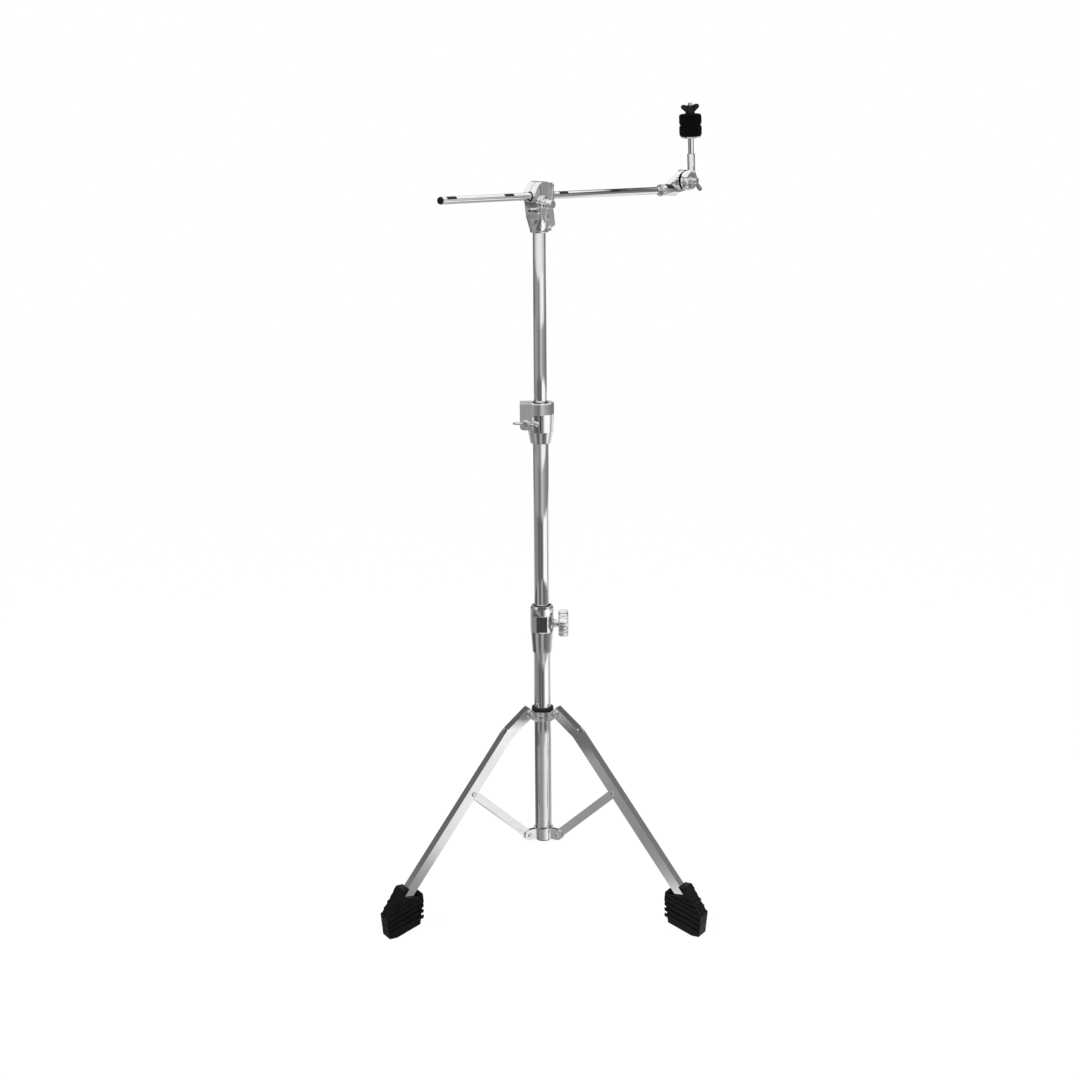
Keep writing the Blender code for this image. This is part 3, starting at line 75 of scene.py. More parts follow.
# Screens: how far out their zone ends, floor and wall in one run, then degrees from the camera and level
SCREENS = (
    (0.80, ((-180, 0.50), (-137, 0.19), (-104, 0.09), (-80, 0.20), (-60, 0.38), (-42, 0.30), (-25, 0.28),
            (-8, 0.34), (8, 0.45), (25, 0.78), (42, 0.92), (60, 0.88), (80, 0.66), (104, 0.28), (137, 0.55))),
    (1.00, ((-180, 0.50), (-137, 0.19), (-104, 0.08), (-80, 0.12), (-60, 0.14), (-42, 0.24), (-25, 0.28),
            (-8, 0.30), (8, 0.40), (25, 0.55), (42, 0.90), (60, 1.05), (80, 0.90), (104, 0.28), (137, 0.55))),
    (1.60, ((-180, 0.50), (-140, 0.30), (-109, 0.08), (-87, 0.08), (-68, 0.36), (-52, 0.42), (-36, 0.12),
            (-22, 0.10), (-7, 0.34), (7, 0.46), (22, 0.16), (36, 0.12), (52, 0.18), (68, 0.20), (87, 0.28),
            (109, 0.40), (140, 0.80))),
    (2.95, ((-180, 0.80), (-140, 0.53), (-110, 0.26), (-72, 0.26), (-56, 0.22), (-41, 0.13), (-28, 0.09),
            (-16, 0.21), (-7, 0.20), (-5, 0.05), (5, 0.05), (7, 0.20), (16, 0.20), (28, 0.50), (38, 1.10),
            (72, 1.12), (88, 1.00), (98, 0.40), (112, 0.45), (122, 0.85))),
    (3.50, ((-180, 0.60), (-137, 0.16), (-104, 0.26), (-80, 0.38), (-60, 0.32), (-42, 0.28), (-25, 0.19),
            (-8, 0.20), (6, 0.52), (25, 0.56), (42, 0.38), (60, 0.32), (80, 0.26), (104, 0.22), (137, 0.20))),
    (4.00, ((-180, 0.60), (-120, 0.14), (-98, 0.20), (-72, 0.30), (-45, 0.34), (-20, 0.27), (-6, 0.22),
            (8, 0.80), (30, 1.00), (60, 1.00), (85, 0.36), (110, 0.24), (125, 0.16), (150, 0.60))),
    (4.85, ((-180, 0.50), (-150, 0.14), (-110, 0.09), (-80, 0.50), (-30, 0.90), (30, 0.90), (80, 0.60),
            (110, 0.10), (150, 0.15))),
    (5.40, ((-180, 0.08), (0, 0.10))),
)

# Meshes
MERGE = 0.00001
FLAT_ANGLE = math.radians(0.6)
SHARP_ANGLE = math.radians(33)
FINE_SIDES = 96
EDGE_WIDTH = 0.00035
EDGE_ANGLE = math.radians(35)
FLAT_WIDTH = 0.0040
QUARTER = math.pi / 2
FULL = 2 * math.pi
SOFTENED = {"leg_1", "leg_2", "leg_3", "brace_1", "brace_2", "brace_3", "boom_yoke", "holder_front",
            "holder_rear", "clamp_knob", "tilter_socket", "tilter_head", "cymbal_seat", "middle_wing_nut",
            "boom_wing_nut", "tilter_wing_nut", "top_wing_nut", "collar_bush", "arm_cap"}

# Tubes, arm and rod
TUBE_WALL = 0.0012
ARM_RADIUS = 0.00635
ARM_LEFT = 0.232
ARM_RIGHT = 0.345
SOCKET_RADIUS = 0.01045
ROD_RADIUS = 0.0040
THREAD_LENGTH = 0.0070
THREAD_PITCH = 0.00125
THREAD_DEPTH = 0.0006

# Painted shade along the arm: black strips standing in for the dark hollows of its grooves
MARK_COUNT = 4
MARK_FIRST = -0.2230
MARK_PITCH = 0.1345
MARK_LENGTH = 0.0220
MARK_ANGLE = math.radians(45)
MARK_SPREAD = math.radians(50)
MARK_STEPS = 8
MARK_DEPTH = 0.0006
MARK_PROUD = 0.00015
SOCKET_MARK_START = 0.3290
SOCKET_MARK_LENGTH = 0.0180

# Ribs of the feet
RIB_COUNT = 6
RIB_FIRST = 0.0040
RIB_PITCH = 0.0098
RIB_THICKNESS = 0.0060
RIB_UPRIGHT = 0.0360
RIB_LEAN = 0.66
RIB_TOE_INSET = 0.0040
RIB_HEEL_INSET = 0.0010
RIB_RIM = 0.0660
RIB_SLOPE = 1 / 3
RIB_DEEP = 0.0026
RIB_EDGE = 0.0007
FOOT_CORE_SHARE = 0.90

# Felts
FELT_RADIUS = 0.0203
FELT_HEIGHT = 0.0190
FELT_BORE = 0.0058
FELT_ROUND = 0.0012
FELT_STEPS = 14
FELT_PINCH = 0.07
FELT_SIDE = 0.93
FELT_UNEVEN = 0.0006
FELT_GRAIN = 190.0

# Yoke's funnel
SKIRT_BOTTOM = 1.1930
SKIRT_TOP = 1.2212
SKIRT_RADIUS = 0.0156
SKIRT_WIDE = 0.0190
SKIRT_DEEP = 0.0158
SKIRT_LEVELS = 12

record = frame["record"]
body_of_node = {node: body for body, nodes in record["behaviour"]["bodies"].items() for node in nodes}
slot_of_node = {entry["node"]: entry["material_slot"] for entry in record["subparts"]}
joints = {joint["name"]: joint for joint in record["behaviour"]["joints"]}


def middle(node):
    low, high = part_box(node)
    return (low + high) / 2


column = middle("base_tube")


# Materials

def new_group(name, inputs, outputs):
    """A shader node group with named inputs (kind, default) and outputs."""
    group = bpy.data.node_groups.new(name, "ShaderNodeTree")
    for label, (kind, default) in inputs.items():
        socket = group.interface.new_socket(name=label, in_out="INPUT", socket_type=kind)
        socket.default_value = default
    for label, kind in outputs.items():
        group.interface.new_socket(name=label, in_out="OUTPUT", socket_type=kind)
    start = group.nodes.new("NodeGroupInput")
    end = group.nodes.new("NodeGroupOutput")
    return group, start, end


def noise(tree, vector, scale, detail=4.0, roughness=0.55):
    node = tree.nodes.new("ShaderNodeTexNoise")
    node.inputs["Scale"].default_value = scale
    node.inputs["Detail"].default_value = detail
    node.inputs["Roughness"].default_value = roughness
    tree.links.new(vector, node.inputs["Vector"])
    return node.outputs["Fac"]


def remap(tree, value, low, high, new_low, new_high):
    node = tree.nodes.new("ShaderNodeMapRange")
    for label, number in (("From Min", low), ("From Max", high), ("To Min", new_low), ("To Max", new_high)):
        node.inputs[label].default_value = number
    tree.links.new(value, node.inputs["Value"])
    return node.outputs["Result"]


def maths(tree, operation, first, second):
    node = tree.nodes.new("ShaderNodeMath")
    node.operation = operation
    for socket, value in zip(node.inputs, (first, second)):
        if isinstance(value, (int, float)):
            socket.default_value = value
        else:
            tree.links.new(value, socket)
    return node.outputs["Value"]


def blend_colour(tree, factor, first, second):
    node = tree.nodes.new("ShaderNodeMix")
    node.data_type = "RGBA"
    tree.links.new(factor, node.inputs["Factor"])
    for socket, value in ((node.inputs["A"], first), (node.inputs["B"], second)):
        if isinstance(value, tuple):
            socket.default_value = value
        else:
            tree.links.new(value, socket)
    return node.outputs["Result"]


def bumped(tree, height, strength, distance):
    node = tree.nodes.new("ShaderNodeBump")
    node.inputs["Strength"].default_value = strength
    node.inputs["Distance"].default_value = distance
    tree.links.new(height, node.inputs["Height"])
    return node.outputs["Normal"]


def make_plating_wear():
    """Finger smudges, fine polishing haze and slight waviness of plated steel."""
    group, start, end = new_group(
        "plating_wear",
        {"Vector": ("NodeSocketVector", (0, 0, 0)), "Clean": ("NodeSocketColor", (0.9, 0.9, 0.9, 1)),
         "Smudged": ("NodeSocketColor", (0.7, 0.7, 0.7, 1)), "Haze": ("NodeSocketFloat", 0.1),
         "Shine": ("NodeSocketFloat", 0.03)},
        {"Color": "NodeSocketColor", "Roughness": "NodeSocketFloat", "Normal": "NodeSocketVector"})
    place = start.outputs["Vector"]
    smudge = remap(group, noise(group, place, 34.0, 5.0, 0.6), 0.46, 0.78, 0.0, 1.0)
    grain = noise(group, place, 900.0, 2.0, 0.7)
    ripple = noise(group, place, 55.0, 2.0, 0.4)
    shade = maths(group, "MULTIPLY", smudge, 0.45)
    group.links.new(blend_colour(group, shade, start.outputs["Clean"], start.outputs["Smudged"]),
                    end.inputs["Color"])
    rough = maths(group, "MULTIPLY", smudge, start.outputs["Haze"])
    rough = maths(group, "ADD", rough, start.outputs["Shine"])
    rough = maths(group, "ADD", rough, remap(group, grain, 0.3, 0.8, 0.0, 0.02))
    group.links.new(rough, end.inputs["Roughness"])
    group.links.new(bumped(group, ripple, 0.06, 0.0006), end.inputs["Normal"])
    return group


def make_moulded_skin():
    """Speckle and dull patches of moulded rubber and plastic."""
    group, start, end = new_group(
        "moulded_skin",
        {"Vector": ("NodeSocketVector", (0, 0, 0)), "Deep": ("NodeSocketColor", (0.01, 0.01, 0.01, 1)),
         "Dusty": ("NodeSocketColor", (0.03, 0.03, 0.03, 1)), "Smooth": ("NodeSocketFloat", 0.4),
         "Dull": ("NodeSocketFloat", 0.7)},
        {"Color": "NodeSocketColor", "Roughness": "NodeSocketFloat", "Normal": "NodeSocketVector"})
    place = start.outputs["Vector"]
    patch = remap(group, noise(group, place, 60.0, 4.0, 0.6), 0.35, 0.75, 0.0, 1.0)
    speckle = noise(group, place, 1400.0, 2.0, 0.5)
    group.links.new(blend_colour(group, patch, start.outputs["Deep"], start.outputs["Dusty"]),
                    end.inputs["Color"])
    spread = maths(group, "SUBTRACT", start.outputs["Dull"], start.outputs["Smooth"])
    rough = maths(group, "ADD", maths(group, "MULTIPLY", patch, spread), start.outputs["Smooth"])
    group.links.new(rough, end.inputs["Roughness"])
    group.links.new(bumped(group, speckle, 0.25, 0.0002), end.inputs["Normal"])
    return group


def make_felt_fibres():
    """Matted fibres: stretched noise in two directions with pale stray hairs."""
    group, start, end = new_group(
        "felt_fibres",
        {"Vector": ("NodeSocketVector", (0, 0, 0)), "Wool": ("NodeSocketColor", (0.01, 0.01, 0.01, 1)),
         "Hairs": ("NodeSocketColor", (0.05, 0.05, 0.05, 1))},
        {"Color": "NodeSocketColor", "Normal": "NodeSocketVector"})
    strands = []
    for stretch in ((260.0, 900.0, 500.0), (900.0, 300.0, 260.0)):
        mapping = group.nodes.new("ShaderNodeMapping")
        mapping.inputs["Scale"].default_value = stretch
        group.links.new(start.outputs["Vector"], mapping.inputs["Vector"])
        strands.append(noise(group, mapping.outputs["Vector"], 1.0, 5.0, 0.7))
    matted = maths(group, "MULTIPLY", strands[0], strands[1])
    hair = remap(group, matted, 0.30, 0.46, 0.0, 1.0)
    group.links.new(blend_colour(group, hair, start.outputs["Wool"], start.outputs["Hairs"]),
                    end.inputs["Color"])
    group.links.new(bumped(group, matted, 0.7, 0.0007), end.inputs["Normal"])
    return group


PLATING_WEAR = make_plating_wear()
MOULDED_SKIN = make_moulded_skin()
FELT_FIBRES = make_felt_fibres()


def new_material(name, group, values, metallic=0.0, roughness=None, sheen=0.0, specular=0.5):
    """A Principled finish whose colour, roughness and normal come from one effect group."""
    finish = bpy.data.materials.new(name)
    finish.use_nodes = True
    tree = finish.node_tree
    shader = tree.nodes["Principled BSDF"]
    shader.inputs["Metallic"].default_value = metallic
    shader.inputs["Sheen Weight"].default_value = sheen
    shader.inputs["Specular IOR Level"].default_value = specular
    if roughness is not None:
        shader.inputs["Roughness"].default_value = roughness
    effect = tree.nodes.new("ShaderNodeGroup")
    effect.node_tree = group
    for label, value in values.items():
        effect.inputs[label].default_value = value
    place = tree.nodes.new("ShaderNodeTexCoord")
    tree.links.new(place.outputs["Object"], effect.inputs["Vector"])
    tree.links.new(effect.outputs["Color"], shader.inputs["Base Color"])
    tree.links.new(effect.outputs["Normal"], shader.inputs["Normal"])
    if "Roughness" in effect.outputs:
        tree.links.new(effect.outputs["Roughness"], shader.inputs["Roughness"])
    return finish


FINISHES = {
    "chrome": new_material("mirror_chrome", PLATING_WEAR, {
        "Clean": (0.88, 0.88, 0.885, 1), "Smudged": (0.74, 0.74, 0.745, 1), "Haze": 0.07, "Shine": 0.035},
        metallic=1.0),
    "bright_steel": new_material("plated_steel", PLATING_WEAR, {
        "Clean": (0.72, 0.72, 0.73, 1), "Smudged": (0.50, 0.50, 0.50, 1), "Haze": 0.16, "Shine": 0.12},
        metallic=1.0),
    "rubber": new_material("foot_rubber", MOULDED_SKIN, {
        "Deep": (0.003, 0.003, 0.003, 1), "Dusty": (0.007, 0.007, 0.007, 1), "Smooth": 0.45, "Dull": 0.70},
        specular=0.14),
    "black_nylon": new_material("bush_nylon", MOULDED_SKIN, {
        "Deep": (0.006, 0.006, 0.006, 1), "Dusty": (0.012, 0.012, 0.012, 1), "Smooth": 0.32, "Dull": 0.52},
        specular=0.25),
    "felt": new_material("wool_felt", FELT_FIBRES, {
        "Wool": (0.002, 0.002, 0.002, 1), "Hairs": (0.009, 0.009, 0.009, 1)}, roughness=0.95, sheen=0.02,
        specular=0.05),
    "black_plastic": new_material("wing_plastic", MOULDED_SKIN, {
        "Deep": (0.004, 0.004, 0.004, 1), "Dusty": (0.008, 0.008, 0.008, 1), "Smooth": 0.30, "Dull": 0.48},
        specular=0.25),
}


# Pieces

def smooth(mesh):
    """Smooth shading that stops at sharp edges and all round every wide flat face."""
    mesh.shade_smooth()
    mesh.set_sharp_from_angle(angle=SHARP_ANGLE)
    shape = bmesh.new()
    shape.from_mesh(mesh)
    wide = {face: 2 * face.calc_area() > FLAT_WIDTH * face.calc_perimeter() for face in shape.faces}
    for edge in shape.edges:
        if len({wide[face] for face in edge.link_faces}) > 1:
            edge.smooth = False
    shape.to_mesh(mesh)
    shape.free()


def new_piece(name, mesh, slot, body):
    """A finished mesh in its material, riding on its body."""
    piece = bpy.data.objects.new(name, mesh)
    bpy.context.scene.collection.objects.link(piece)
    mesh.materials.clear()
    mesh.materials.append(FINISHES[slot])
    smooth(mesh)
    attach(piece, body)
    return piece


def soften(shape, width):
    """Rounds every sharp edge a little, so that it catches a line of light."""
    edges = [edge for edge in shape.edges if edge.is_manifold and edge.calc_face_angle() > EDGE_ANGLE]
    bmesh.ops.bevel(shape, geom=edges, offset=width, segments=2, profile=0.5, affect="EDGES", material=-1,
                    clamp_overlap=True)


def finished(name, shape, slot, body):
    """Closes a shape into a mesh and dresses it."""
    bmesh.ops.recalc_face_normals(shape, faces=shape.faces)
    mesh = bpy.data.meshes.new(name)
    shape.to_mesh(mesh)
    shape.free()
    return new_piece(name, mesh, slot, body)


def whole_faces(node):
    """A merged copy of a node's mesh with its flat faces whole again."""
    shape = bmesh.new()
    shape.from_mesh(frame["nodes"][node].data)
    bmesh.ops.remove_doubles(shape, verts=shape.verts, dist=MERGE)
    bmesh.ops.dissolve_limit(shape, angle_limit=FLAT_ANGLE, verts=shape.verts, edges=shape.edges)
    return shape


def refined(node):
    """A node's own form with softened edges and smooth shading in its place."""
    shape = whole_faces(node)
    if node in SOFTENED:
        soften(shape, EDGE_WIDTH)
    piece = finished(node + "_fine", shape, slot_of_node[node], body_of_node[node])
    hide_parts(node)
    return piece


def axes(origin, along, sideways):
    """A placement whose Z runs along one direction and whose X leans to another."""
    along = along.normalized()
    across = (sideways - along * sideways.dot(along)).normalized()
    turn = Matrix((across, along.cross(across), along)).transposed().to_4x4()
    return Matrix.Translation(origin) @ turn


def turned(name, profile, place, slot, body, edge=0.0, sides=FINE_SIDES):
    """A closed profile of (radius, height) points turned round the place's Z."""
    shape = bmesh.new()
    corners = [shape.verts.new((radius, 0, height)) for radius, height in profile]
    sides_of_profile = [shape.edges.new(pair) for pair in zip(corners, corners[1:] + corners[:1])]
    bmesh.ops.spin(shape, geom=corners + sides_of_profile, cent=(0, 0, 0), axis=(0, 0, 1), angle=FULL,
                   steps=sides, use_merge=True)
    bmesh.ops.remove_doubles(shape, verts=shape.verts, dist=MERGE / 10)
    if edge:
        bmesh.ops.recalc_face_normals(shape, faces=shape.faces)
        soften(shape, edge)
    bmesh.ops.transform(shape, matrix=place, verts=shape.verts)
    return finished(name, shape, slot, body)


def upright():
    return axes(Vector((column.x, column.y, 0)), Vector((0, 0, 1)), Vector((1, 0, 0)))


def round_tube(node, wall):
    """An upright tube of many more sides than the solid's, with a rounded rim at both ends."""
    low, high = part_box(node)
    radius = (high.x - low.x) / 2
    profile = [(radius, low.z), (radius, high.z), (radius - wall, high.z), (radius - wall, low.z)]
    piece = turned(node + "_fine", profile, upright(), slot_of_node[node], body_of_node[node], EDGE_WIDTH)
    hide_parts(node)


def joint_place(name):
    """The place and direction of a joint's axis."""
    joint = joints[name]
    return Vector(joint["pos_m"]), Vector(joint["axis"]).normalized()


def arm_place():
    origin, along = joint_place("arm_turn")
    return axes(origin, along, Vector((0, 0, 1)))


def groove_shade_strip(name, start, length, radius, place, body):
    """A thin black strip that follows a round bar: painted shade in place of the dark hollow of a pocket
    milled along it.
    """
    shape = bmesh.new()
    rows = []
    for step in range(MARK_STEPS + 1):
        angle = MARK_ANGLE + MARK_SPREAD * (step / MARK_STEPS - 0.5)
        rows.append([shape.verts.new((radius * math.cos(angle), radius * math.sin(angle), start + reach))
                     for reach in (0.0, length)])
    faces = [shape.faces.new((lower[0], lower[1], upper[1], upper[0]))
             for lower, upper in zip(rows, rows[1:])]
    raised = bmesh.ops.extrude_face_region(shape, geom=faces)
    verts = [item for item in raised["geom"] if isinstance(item, bmesh.types.BMVert)]
    for vert in verts:
        vert.co.x *= 1 - MARK_DEPTH / radius
        vert.co.y *= 1 - MARK_DEPTH / radius
    bmesh.ops.transform(shape, matrix=place, verts=shape.verts)
    finished(name, shape, "black_plastic", body)


def prism(shape, outline, near, far, edge):
    """A slab between two planes with the outline given in the leg's own upright plane."""
    block = bmesh.new()
    face = block.faces.new([block.verts.new((near, reach, height)) for reach, height in outline])
    raised = bmesh.ops.extrude_face_region(block, geom=[face])
    verts = [item for item in raised["geom"] if isinstance(item, bmesh.types.BMVert)]
    bmesh.ops.translate(block, vec=(far - near, 0, 0), verts=verts)
    bmesh.ops.recalc_face_normals(block, faces=block.faces)
    soften(block, edge)
    mesh = bpy.data.meshes.new("slab")
    block.to_mesh(mesh)
    block.free()
    shape.from_mesh(mesh)
    bpy.data.meshes.remove(mesh)


def foot_ribs(number, turn):
    """Ribs round the front and both sides of a rubber foot, each parallel to its sole."""
    low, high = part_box("foot_1")
    toe = high.y - column.y
    heel = low.y - column.y
    half = (high.x - low.x) / 2
    shape = bmesh.new()
    for rib in range(RIB_COUNT):
        base = RIB_FIRST + RIB_PITCH * rib
        lean = max(0.0, base + RIB_THICKNESS / 2 - RIB_UPRIGHT) * RIB_LEAN
        front = toe - RIB_TOE_INSET * max(0.0, 1 - base / RIB_UPRIGHT) - lean
        back = max(heel + RIB_HEEL_INSET, front - (RIB_RIM - base - RIB_THICKNESS) / RIB_SLOPE)
        rise = (front - back) * RIB_SLOPE
        side = [(front, base), (front, base + RIB_THICKNESS), (back, base + RIB_THICKNESS + rise),
                (back, base + rise)]
        nose = [(front, base), (front, base + RIB_THICKNESS), (front - RIB_DEEP, base + RIB_THICKNESS),
                (front - RIB_DEEP, base)]
        prism(shape, side, half - RIB_DEEP, half, RIB_EDGE)
        prism(shape, side, -half, RIB_DEEP - half, RIB_EDGE)
        prism(shape, nose, -half, half, RIB_EDGE)
    place = Matrix.Translation((column.x, column.y, 0)) @ Matrix.Rotation(turn, 4, "Z")
    bmesh.ops.transform(shape, matrix=place, verts=shape.verts)
    finished(f"foot_ribs_{number}", shape, "rubber", body_of_node[f"foot_{number}"])


def foot_core(number, turn):
    """The foot's own form, drawn in a little at both sides so that the ribs stand out."""
    shape = whole_faces(f"foot_{number}")
    place = Matrix.Translation((column.x, column.y, 0)) @ Matrix.Rotation(turn, 4, "Z")
    narrow = place @ Matrix.Diagonal((FOOT_CORE_SHARE, 1, 1, 1)) @ place.inverted()
    bmesh.ops.transform(shape, matrix=narrow, verts=shape.verts)
    piece = finished(f"foot_{number}_fine", shape, "rubber", body_of_node[f"foot_{number}"])
    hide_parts(f"foot_{number}")


def felt_ring(node):
    """A pressed felt washer: full in the middle, rounded at both rims and a little uneven."""
    origin, along = joint_place("top_nut_turn")
    centre = middle(node)
    half = FELT_HEIGHT / 2
    outline = [(FELT_BORE, -half + FELT_ROUND), (FELT_BORE + FELT_ROUND, -half)]
    for step in range(FELT_STEPS + 1):
        share = 2 * step / FELT_STEPS - 1
        pinch = 1 - (abs(share) ** 6) * FELT_PINCH
        outline.append((FELT_RADIUS * pinch, half * share * FELT_SIDE))
    outline += [(FELT_BORE + FELT_ROUND, half), (FELT_BORE, half - FELT_ROUND)]
    outline.insert(2, (FELT_RADIUS * (1 - FELT_PINCH) - FELT_ROUND, -half))
    outline.insert(-2, (FELT_RADIUS * (1 - FELT_PINCH) - FELT_ROUND, half))
    place = axes(centre, along, Vector((1, 0, 0)))
    piece = turned(node + "_fine", outline, place, "felt", body_of_node[node])
    for vert in piece.data.vertices:
        out = vert.co - centre
        out -= along * out.dot(along)
        vert.co -= out.normalized() * FELT_UNEVEN * (0.5 + 0.5 * turbulence(vert.co * FELT_GRAIN, 3, False))
    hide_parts(node)


def threaded(name, origin, along, radius, start, end, slot, body):
    """A screw thread as a run of sharp ridges."""
    ridges = round((end - start) / THREAD_PITCH)
    outline = [(0.0, start)]
    for ridge in range(ridges):
        base = start + ridge * THREAD_PITCH
        outline += [(radius - THREAD_DEPTH, base), (radius, base + THREAD_PITCH / 2)]
    outline += [(radius - THREAD_DEPTH, end), (0.0, end)]
    turned(name, outline, axes(origin, along, Vector((1, 0, 0))), slot, body, sides=32)


def yoke_skirt():
    """The yoke's smooth funnel, from its round sleeve out to the width of both cheeks."""
    origin, across = joint_place("boom_tilt")
    arm_side = Vector((0, 0, 1)).cross(across)
    place = axes(Vector((origin.x, origin.y, 0)), Vector((0, 0, 1)), across)
    shape = bmesh.new()
    rings = []
    for level in range(SKIRT_LEVELS + 1):
        share = level / SKIRT_LEVELS
        swell = share * share * (3 - 2 * share)
        height = SKIRT_BOTTOM + (SKIRT_TOP - SKIRT_BOTTOM) * share
        power = 2 + 2.5 * swell
        wide = SKIRT_RADIUS + (SKIRT_WIDE - SKIRT_RADIUS) * swell
        deep = SKIRT_RADIUS + (SKIRT_DEEP - SKIRT_RADIUS) * swell
        ring = []
        for step in range(FINE_SIDES):
            angle = FULL * step / FINE_SIDES
            cosine, sine = math.cos(angle), math.sin(angle)
            size = (abs(cosine) ** power + abs(sine) ** power) ** (-1 / power)
            ring.append(shape.verts.new((wide * cosine * size, deep * sine * size, height)))
        rings.append(ring)
    for lower, upper in zip(rings, rings[1:]):
        for step in range(FINE_SIDES):
            following = (step + 1) % FINE_SIDES
            shape.faces.new((lower[step], lower[following], upper[following], upper[step]))
    shape.faces.new(rings[0][::-1])
    shape.faces.new(rings[-1])
    bmesh.ops.transform(shape, matrix=place, verts=shape.verts)
    finished("yoke_skirt", shape, "chrome", body_of_node["boom_yoke"])


round_tube("base_tube", TUBE_WALL)
round_tube("middle_tube", TUBE_WALL)
round_tube("upper_tube", TUBE_WALL)

turned("boom_arm_fine",
       [(ARM_RADIUS, -ARM_LEFT), (ARM_RADIUS, ARM_RIGHT), (ARM_RADIUS - TUBE_WALL, ARM_RIGHT),
        (ARM_RADIUS - TUBE_WALL, -ARM_LEFT)], arm_place(), "chrome", "arm", EDGE_WIDTH)
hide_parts("boom_arm")
# Black strips on the arm and its socket: painted shade of their grooves
for number in range(MARK_COUNT):
    groove_shade_strip(f"arm_groove_shade_{number + 1}", MARK_FIRST + number * MARK_PITCH, MARK_LENGTH,
              ARM_RADIUS + MARK_PROUD, arm_place(), "arm")
groove_shade_strip("socket_groove_shade", SOCKET_MARK_START, SOCKET_MARK_LENGTH, SOCKET_RADIUS + MARK_PROUD,
          arm_place(), "arm")

for number, degrees in enumerate((0, 120, 240), 1):
    foot_core(number, math.radians(degrees))
    foot_ribs(number, math.radians(degrees))
for felt in ("lower_felt", "upper_felt"):
    felt_ring(felt)

nut_origin, nut_axis = joint_place("top_nut_turn")
rod_top = (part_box("cymbal_rod")[1].z - nut_origin.z) / nut_axis.z
threaded("rod_thread", nut_origin, nut_axis, ROD_RADIUS, rod_top - THREAD_LENGTH, rod_top - THREAD_PITCH,
         "bright_steel", "tilter")
yoke_skirt()

rebuilt = {"base_tube", "middle_tube", "upper_tube", "boom_arm", "foot_1", "foot_2", "foot_3",
           "lower_felt", "upper_felt"}
for node_name in sorted(set(frame["nodes"]) - rebuilt):
    refined(node_name)


# Studio

def stage_material(name):
    finish = bpy.data.materials.new(name)
    finish.use_nodes = True
    finish.node_tree.nodes.clear()
    output = finish.node_tree.nodes.new("ShaderNodeOutputMaterial")
    return finish, finish.node_tree, output


def make_floor():
    """A pale floor that keeps a faint shadow and otherwise shows as white as the backdrop."""
    shape = bmesh.new()
    bmesh.ops.create_grid(shape, x_segments=1, y_segments=1, size=FLOOR_SIZE / 2)
    bmesh.ops.translate(shape, vec=(0, 0, -FLOOR_DROP), verts=shape.verts)
    mesh = bpy.data.meshes.new("floor")
    shape.to_mesh(mesh)
    shape.free()
    floor = bpy.data.objects.new("floor", mesh)
    bpy.context.scene.collection.objects.link(floor)
    finish, tree, output = stage_material("pale_floor")
    paint = tree.nodes.new("ShaderNodeBsdfDiffuse")
    paint.inputs["Color"].default_value = (0.86, 0.86, 0.86, 1)
    glow = tree.nodes.new("ShaderNodeEmission")
    glow.inputs["Strength"].default_value = FLOOR_GLOW
    path = tree.nodes.new("ShaderNodeLightPath")
    seen = maths(tree, "MAXIMUM", path.outputs["Is Camera Ray"], path.outputs["Is Glossy Ray"])
    mix = tree.nodes.new("ShaderNodeMixShader")
    tree.links.new(maths(tree, "MULTIPLY", seen, FLOOR_GLOW_SHARE), mix.inputs["Fac"])
    tree.links.new(paint.outputs["BSDF"], mix.inputs[1])
    tree.links.new(glow.outputs["Emission"], mix.inputs[2])
    tree.links.new(mix.outputs["Shader"], output.inputs["Surface"])
    mesh.materials.append(finish)


def level_ramp(tree, turn, stops):
    """Grey levels round the stand, given by degrees from the camera, right positive."""
    ramp = tree.nodes.new("ShaderNodeValToRGB")
    while len(ramp.color_ramp.elements) < len(stops):
        ramp.color_ramp.elements.new(0.5)
    for element, (degrees, level) in zip(ramp.color_ramp.elements, stops):
        element.position = 0.5 + degrees / 360
        element.color = (level, level, level, 1)
    tree.links.new(turn, ramp.inputs["Fac"])
    return ramp.outputs["Color"]


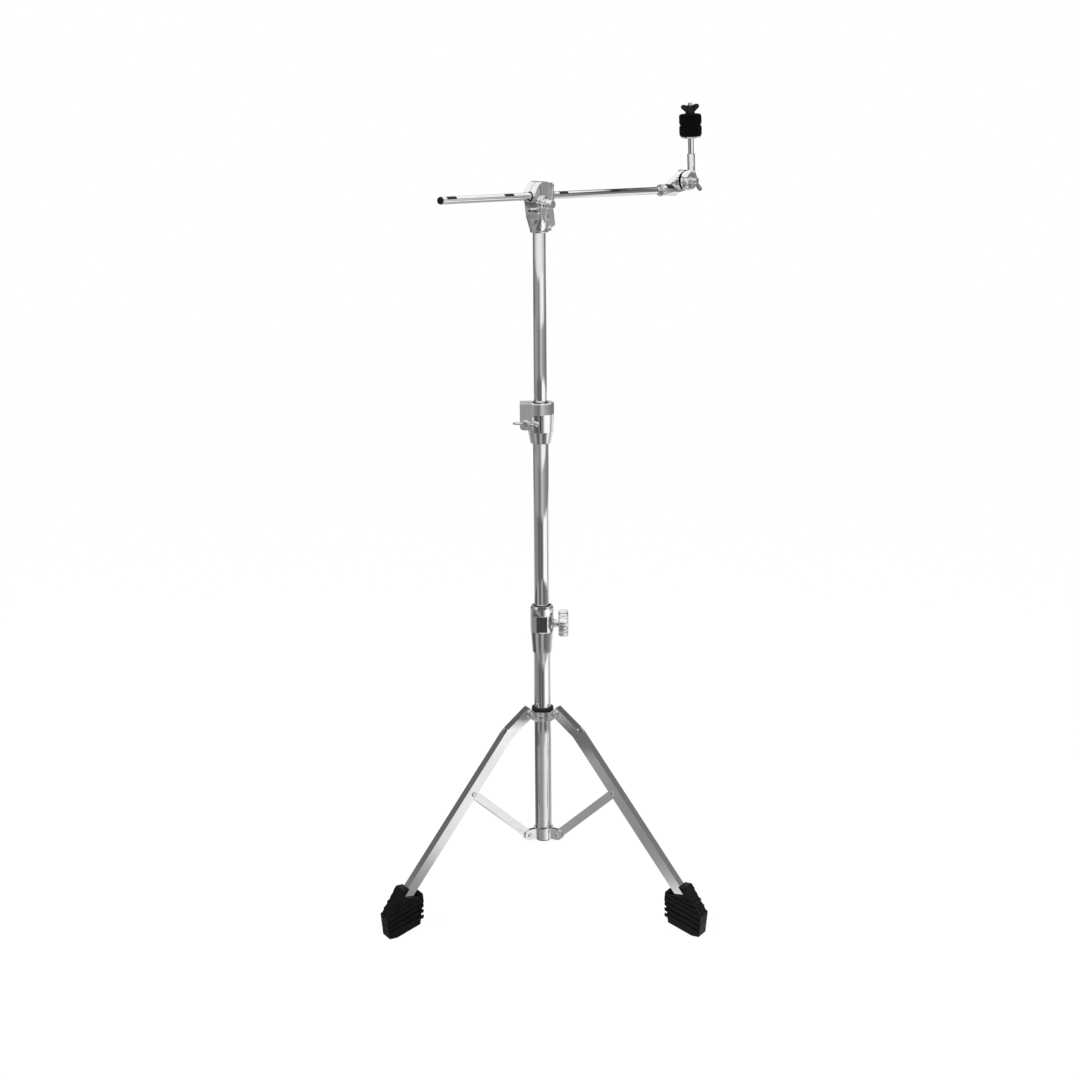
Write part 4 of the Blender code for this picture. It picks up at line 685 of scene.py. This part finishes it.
def make_reflector():
    """Grey and white screens round the stand, which only its plating reflects."""
    shape = bmesh.new()
    ring = [shape.verts.new((REFLECTOR_INNER, 0, -REFLECTOR_DROP)),
            shape.verts.new((REFLECTOR_RADIUS, 0, -REFLECTOR_DROP)),
            shape.verts.new((REFLECTOR_RADIUS, 0, REFLECTOR_HEIGHT))]
    edges = [shape.edges.new(pair) for pair in zip(ring, ring[1:])]
    bmesh.ops.spin(shape, geom=ring + edges, cent=(0, 0, 0), axis=(0, 0, 1), angle=FULL,
                   steps=REFLECTOR_SIDES, use_merge=True)
    bmesh.ops.translate(shape, vec=(column.x, column.y, 0), verts=shape.verts)
    mesh = bpy.data.meshes.new("reflector")
    shape.to_mesh(mesh)
    shape.free()
    reflector = bpy.data.objects.new("reflector", mesh)
    bpy.context.scene.collection.objects.link(reflector)
    reflector.visible_camera = False
    reflector.visible_diffuse = False
    reflector.visible_shadow = False
    reflector.visible_transmission = False

    finish, tree, output = stage_material("studio_screens")
    place = tree.nodes.new("ShaderNodeTexCoord")
    centre = tree.nodes.new("ShaderNodeVectorMath")
    centre.operation = "SUBTRACT"
    centre.inputs[1].default_value = (column.x, column.y, 0)
    tree.links.new(place.outputs["Object"], centre.inputs[0])
    split = tree.nodes.new("ShaderNodeSeparateXYZ")
    tree.links.new(centre.outputs["Vector"], split.inputs["Vector"])
    backwards = maths(tree, "MULTIPLY", split.outputs["Y"], -1.0)
    angle = maths(tree, "ARCTAN2", split.outputs["X"], backwards)
    turn = maths(tree, "ADD", maths(tree, "DIVIDE", angle, FULL), 0.5)
    sway = noise(tree, centre.outputs["Vector"], 1.6, 2.0, 0.5)
    turn = maths(tree, "ADD", turn, remap(tree, sway, 0.0, 1.0, -SCREEN_SWAY, SCREEN_SWAY))
    squares = maths(tree, "ADD", maths(tree, "MULTIPLY", split.outputs["X"], split.outputs["X"]),
                    maths(tree, "MULTIPLY", split.outputs["Y"], split.outputs["Y"]))
    reach = maths(tree, "ADD", maths(tree, "POWER", squares, 0.5), split.outputs["Z"])
    colour = level_ramp(tree, turn, SCREENS[0][1])
    for (border, _), (_, stops) in zip(SCREENS, SCREENS[1:]):
        past = remap(tree, reach, border - ZONE_BLEND, border + ZONE_BLEND, 0.0, 1.0)
        colour = blend_colour(tree, past, colour, level_ramp(tree, turn, stops))
    glow = tree.nodes.new("ShaderNodeEmission")
    tree.links.new(colour, glow.inputs["Color"])
    tree.links.new(glow.outputs["Emission"], output.inputs["Surface"])
    mesh.materials.append(finish)


def make_world():
    """White to the eye and in the plating, and a softer grey as light."""
    world = bpy.data.worlds.new("studio")
    bpy.context.scene.world = world
    world.use_nodes = True
    tree = world.node_tree
    tree.nodes.clear()
    output = tree.nodes.new("ShaderNodeOutputWorld")
    sky = tree.nodes.new("ShaderNodeBackground")
    sky.inputs["Color"].default_value = (1, 1, 1, 1)
    path = tree.nodes.new("ShaderNodeLightPath")
    seen = maths(tree, "MAXIMUM", path.outputs["Is Camera Ray"], path.outputs["Is Glossy Ray"])
    seen = maths(tree, "MAXIMUM", seen, path.outputs["Is Transmission Ray"])
    tree.links.new(remap(tree, seen, 0.0, 1.0, 0.62, 1.0), sky.inputs["Strength"])
    tree.links.new(sky.outputs["Background"], output.inputs["Surface"])


def make_lights():
    """A soft key from the upper left and a weaker fill from the right."""
    for name, energy, place, size in (("key", 70.0, (-2.0, -2.4, 2.8), 1.4),
                                      ("fill", 32.0, (2.4, -1.6, 2.0), 1.6)):
        lamp = bpy.data.lights.new(name, "AREA")
        lamp.energy = energy
        lamp.size = size
        light = bpy.data.objects.new(name, lamp)
        light.location = Vector(place) + Vector((column.x, column.y, 0))
        aim = Vector((column.x, column.y, 0.7)) - light.location
        light.rotation_euler = aim.to_track_quat("-Z", "Y").to_euler()
        light.visible_glossy = False
        bpy.context.scene.collection.objects.link(light)


def make_camera():
    lens = bpy.data.cameras.new("camera")
    lens.sensor_fit = "HORIZONTAL"
    lens.sensor_width = SENSOR_MM
    lens.lens = SENSOR_MM * FOCAL_PX / PHOTO_WIDTH_PX
    lens.shift_x = -CENTRE_OFFSET_PX / PHOTO_WIDTH_PX
    camera = bpy.data.objects.new("camera", lens)
    turn = Matrix.Rotation(QUARTER - CAMERA_PITCH, 4, "X") @ Matrix.Rotation(-CAMERA_ROLL, 4, "Z")
    place = Matrix.Translation((column.x, column.y - CAMERA_DISTANCE, CAMERA_HEIGHT))
    camera.matrix_world = place @ turn
    bpy.context.scene.collection.objects.link(camera)
    bpy.context.scene.camera = camera


make_floor()
make_reflector()
make_world()
make_lights()
make_camera()
bpy.context.scene.view_settings.view_transform = "Standard"
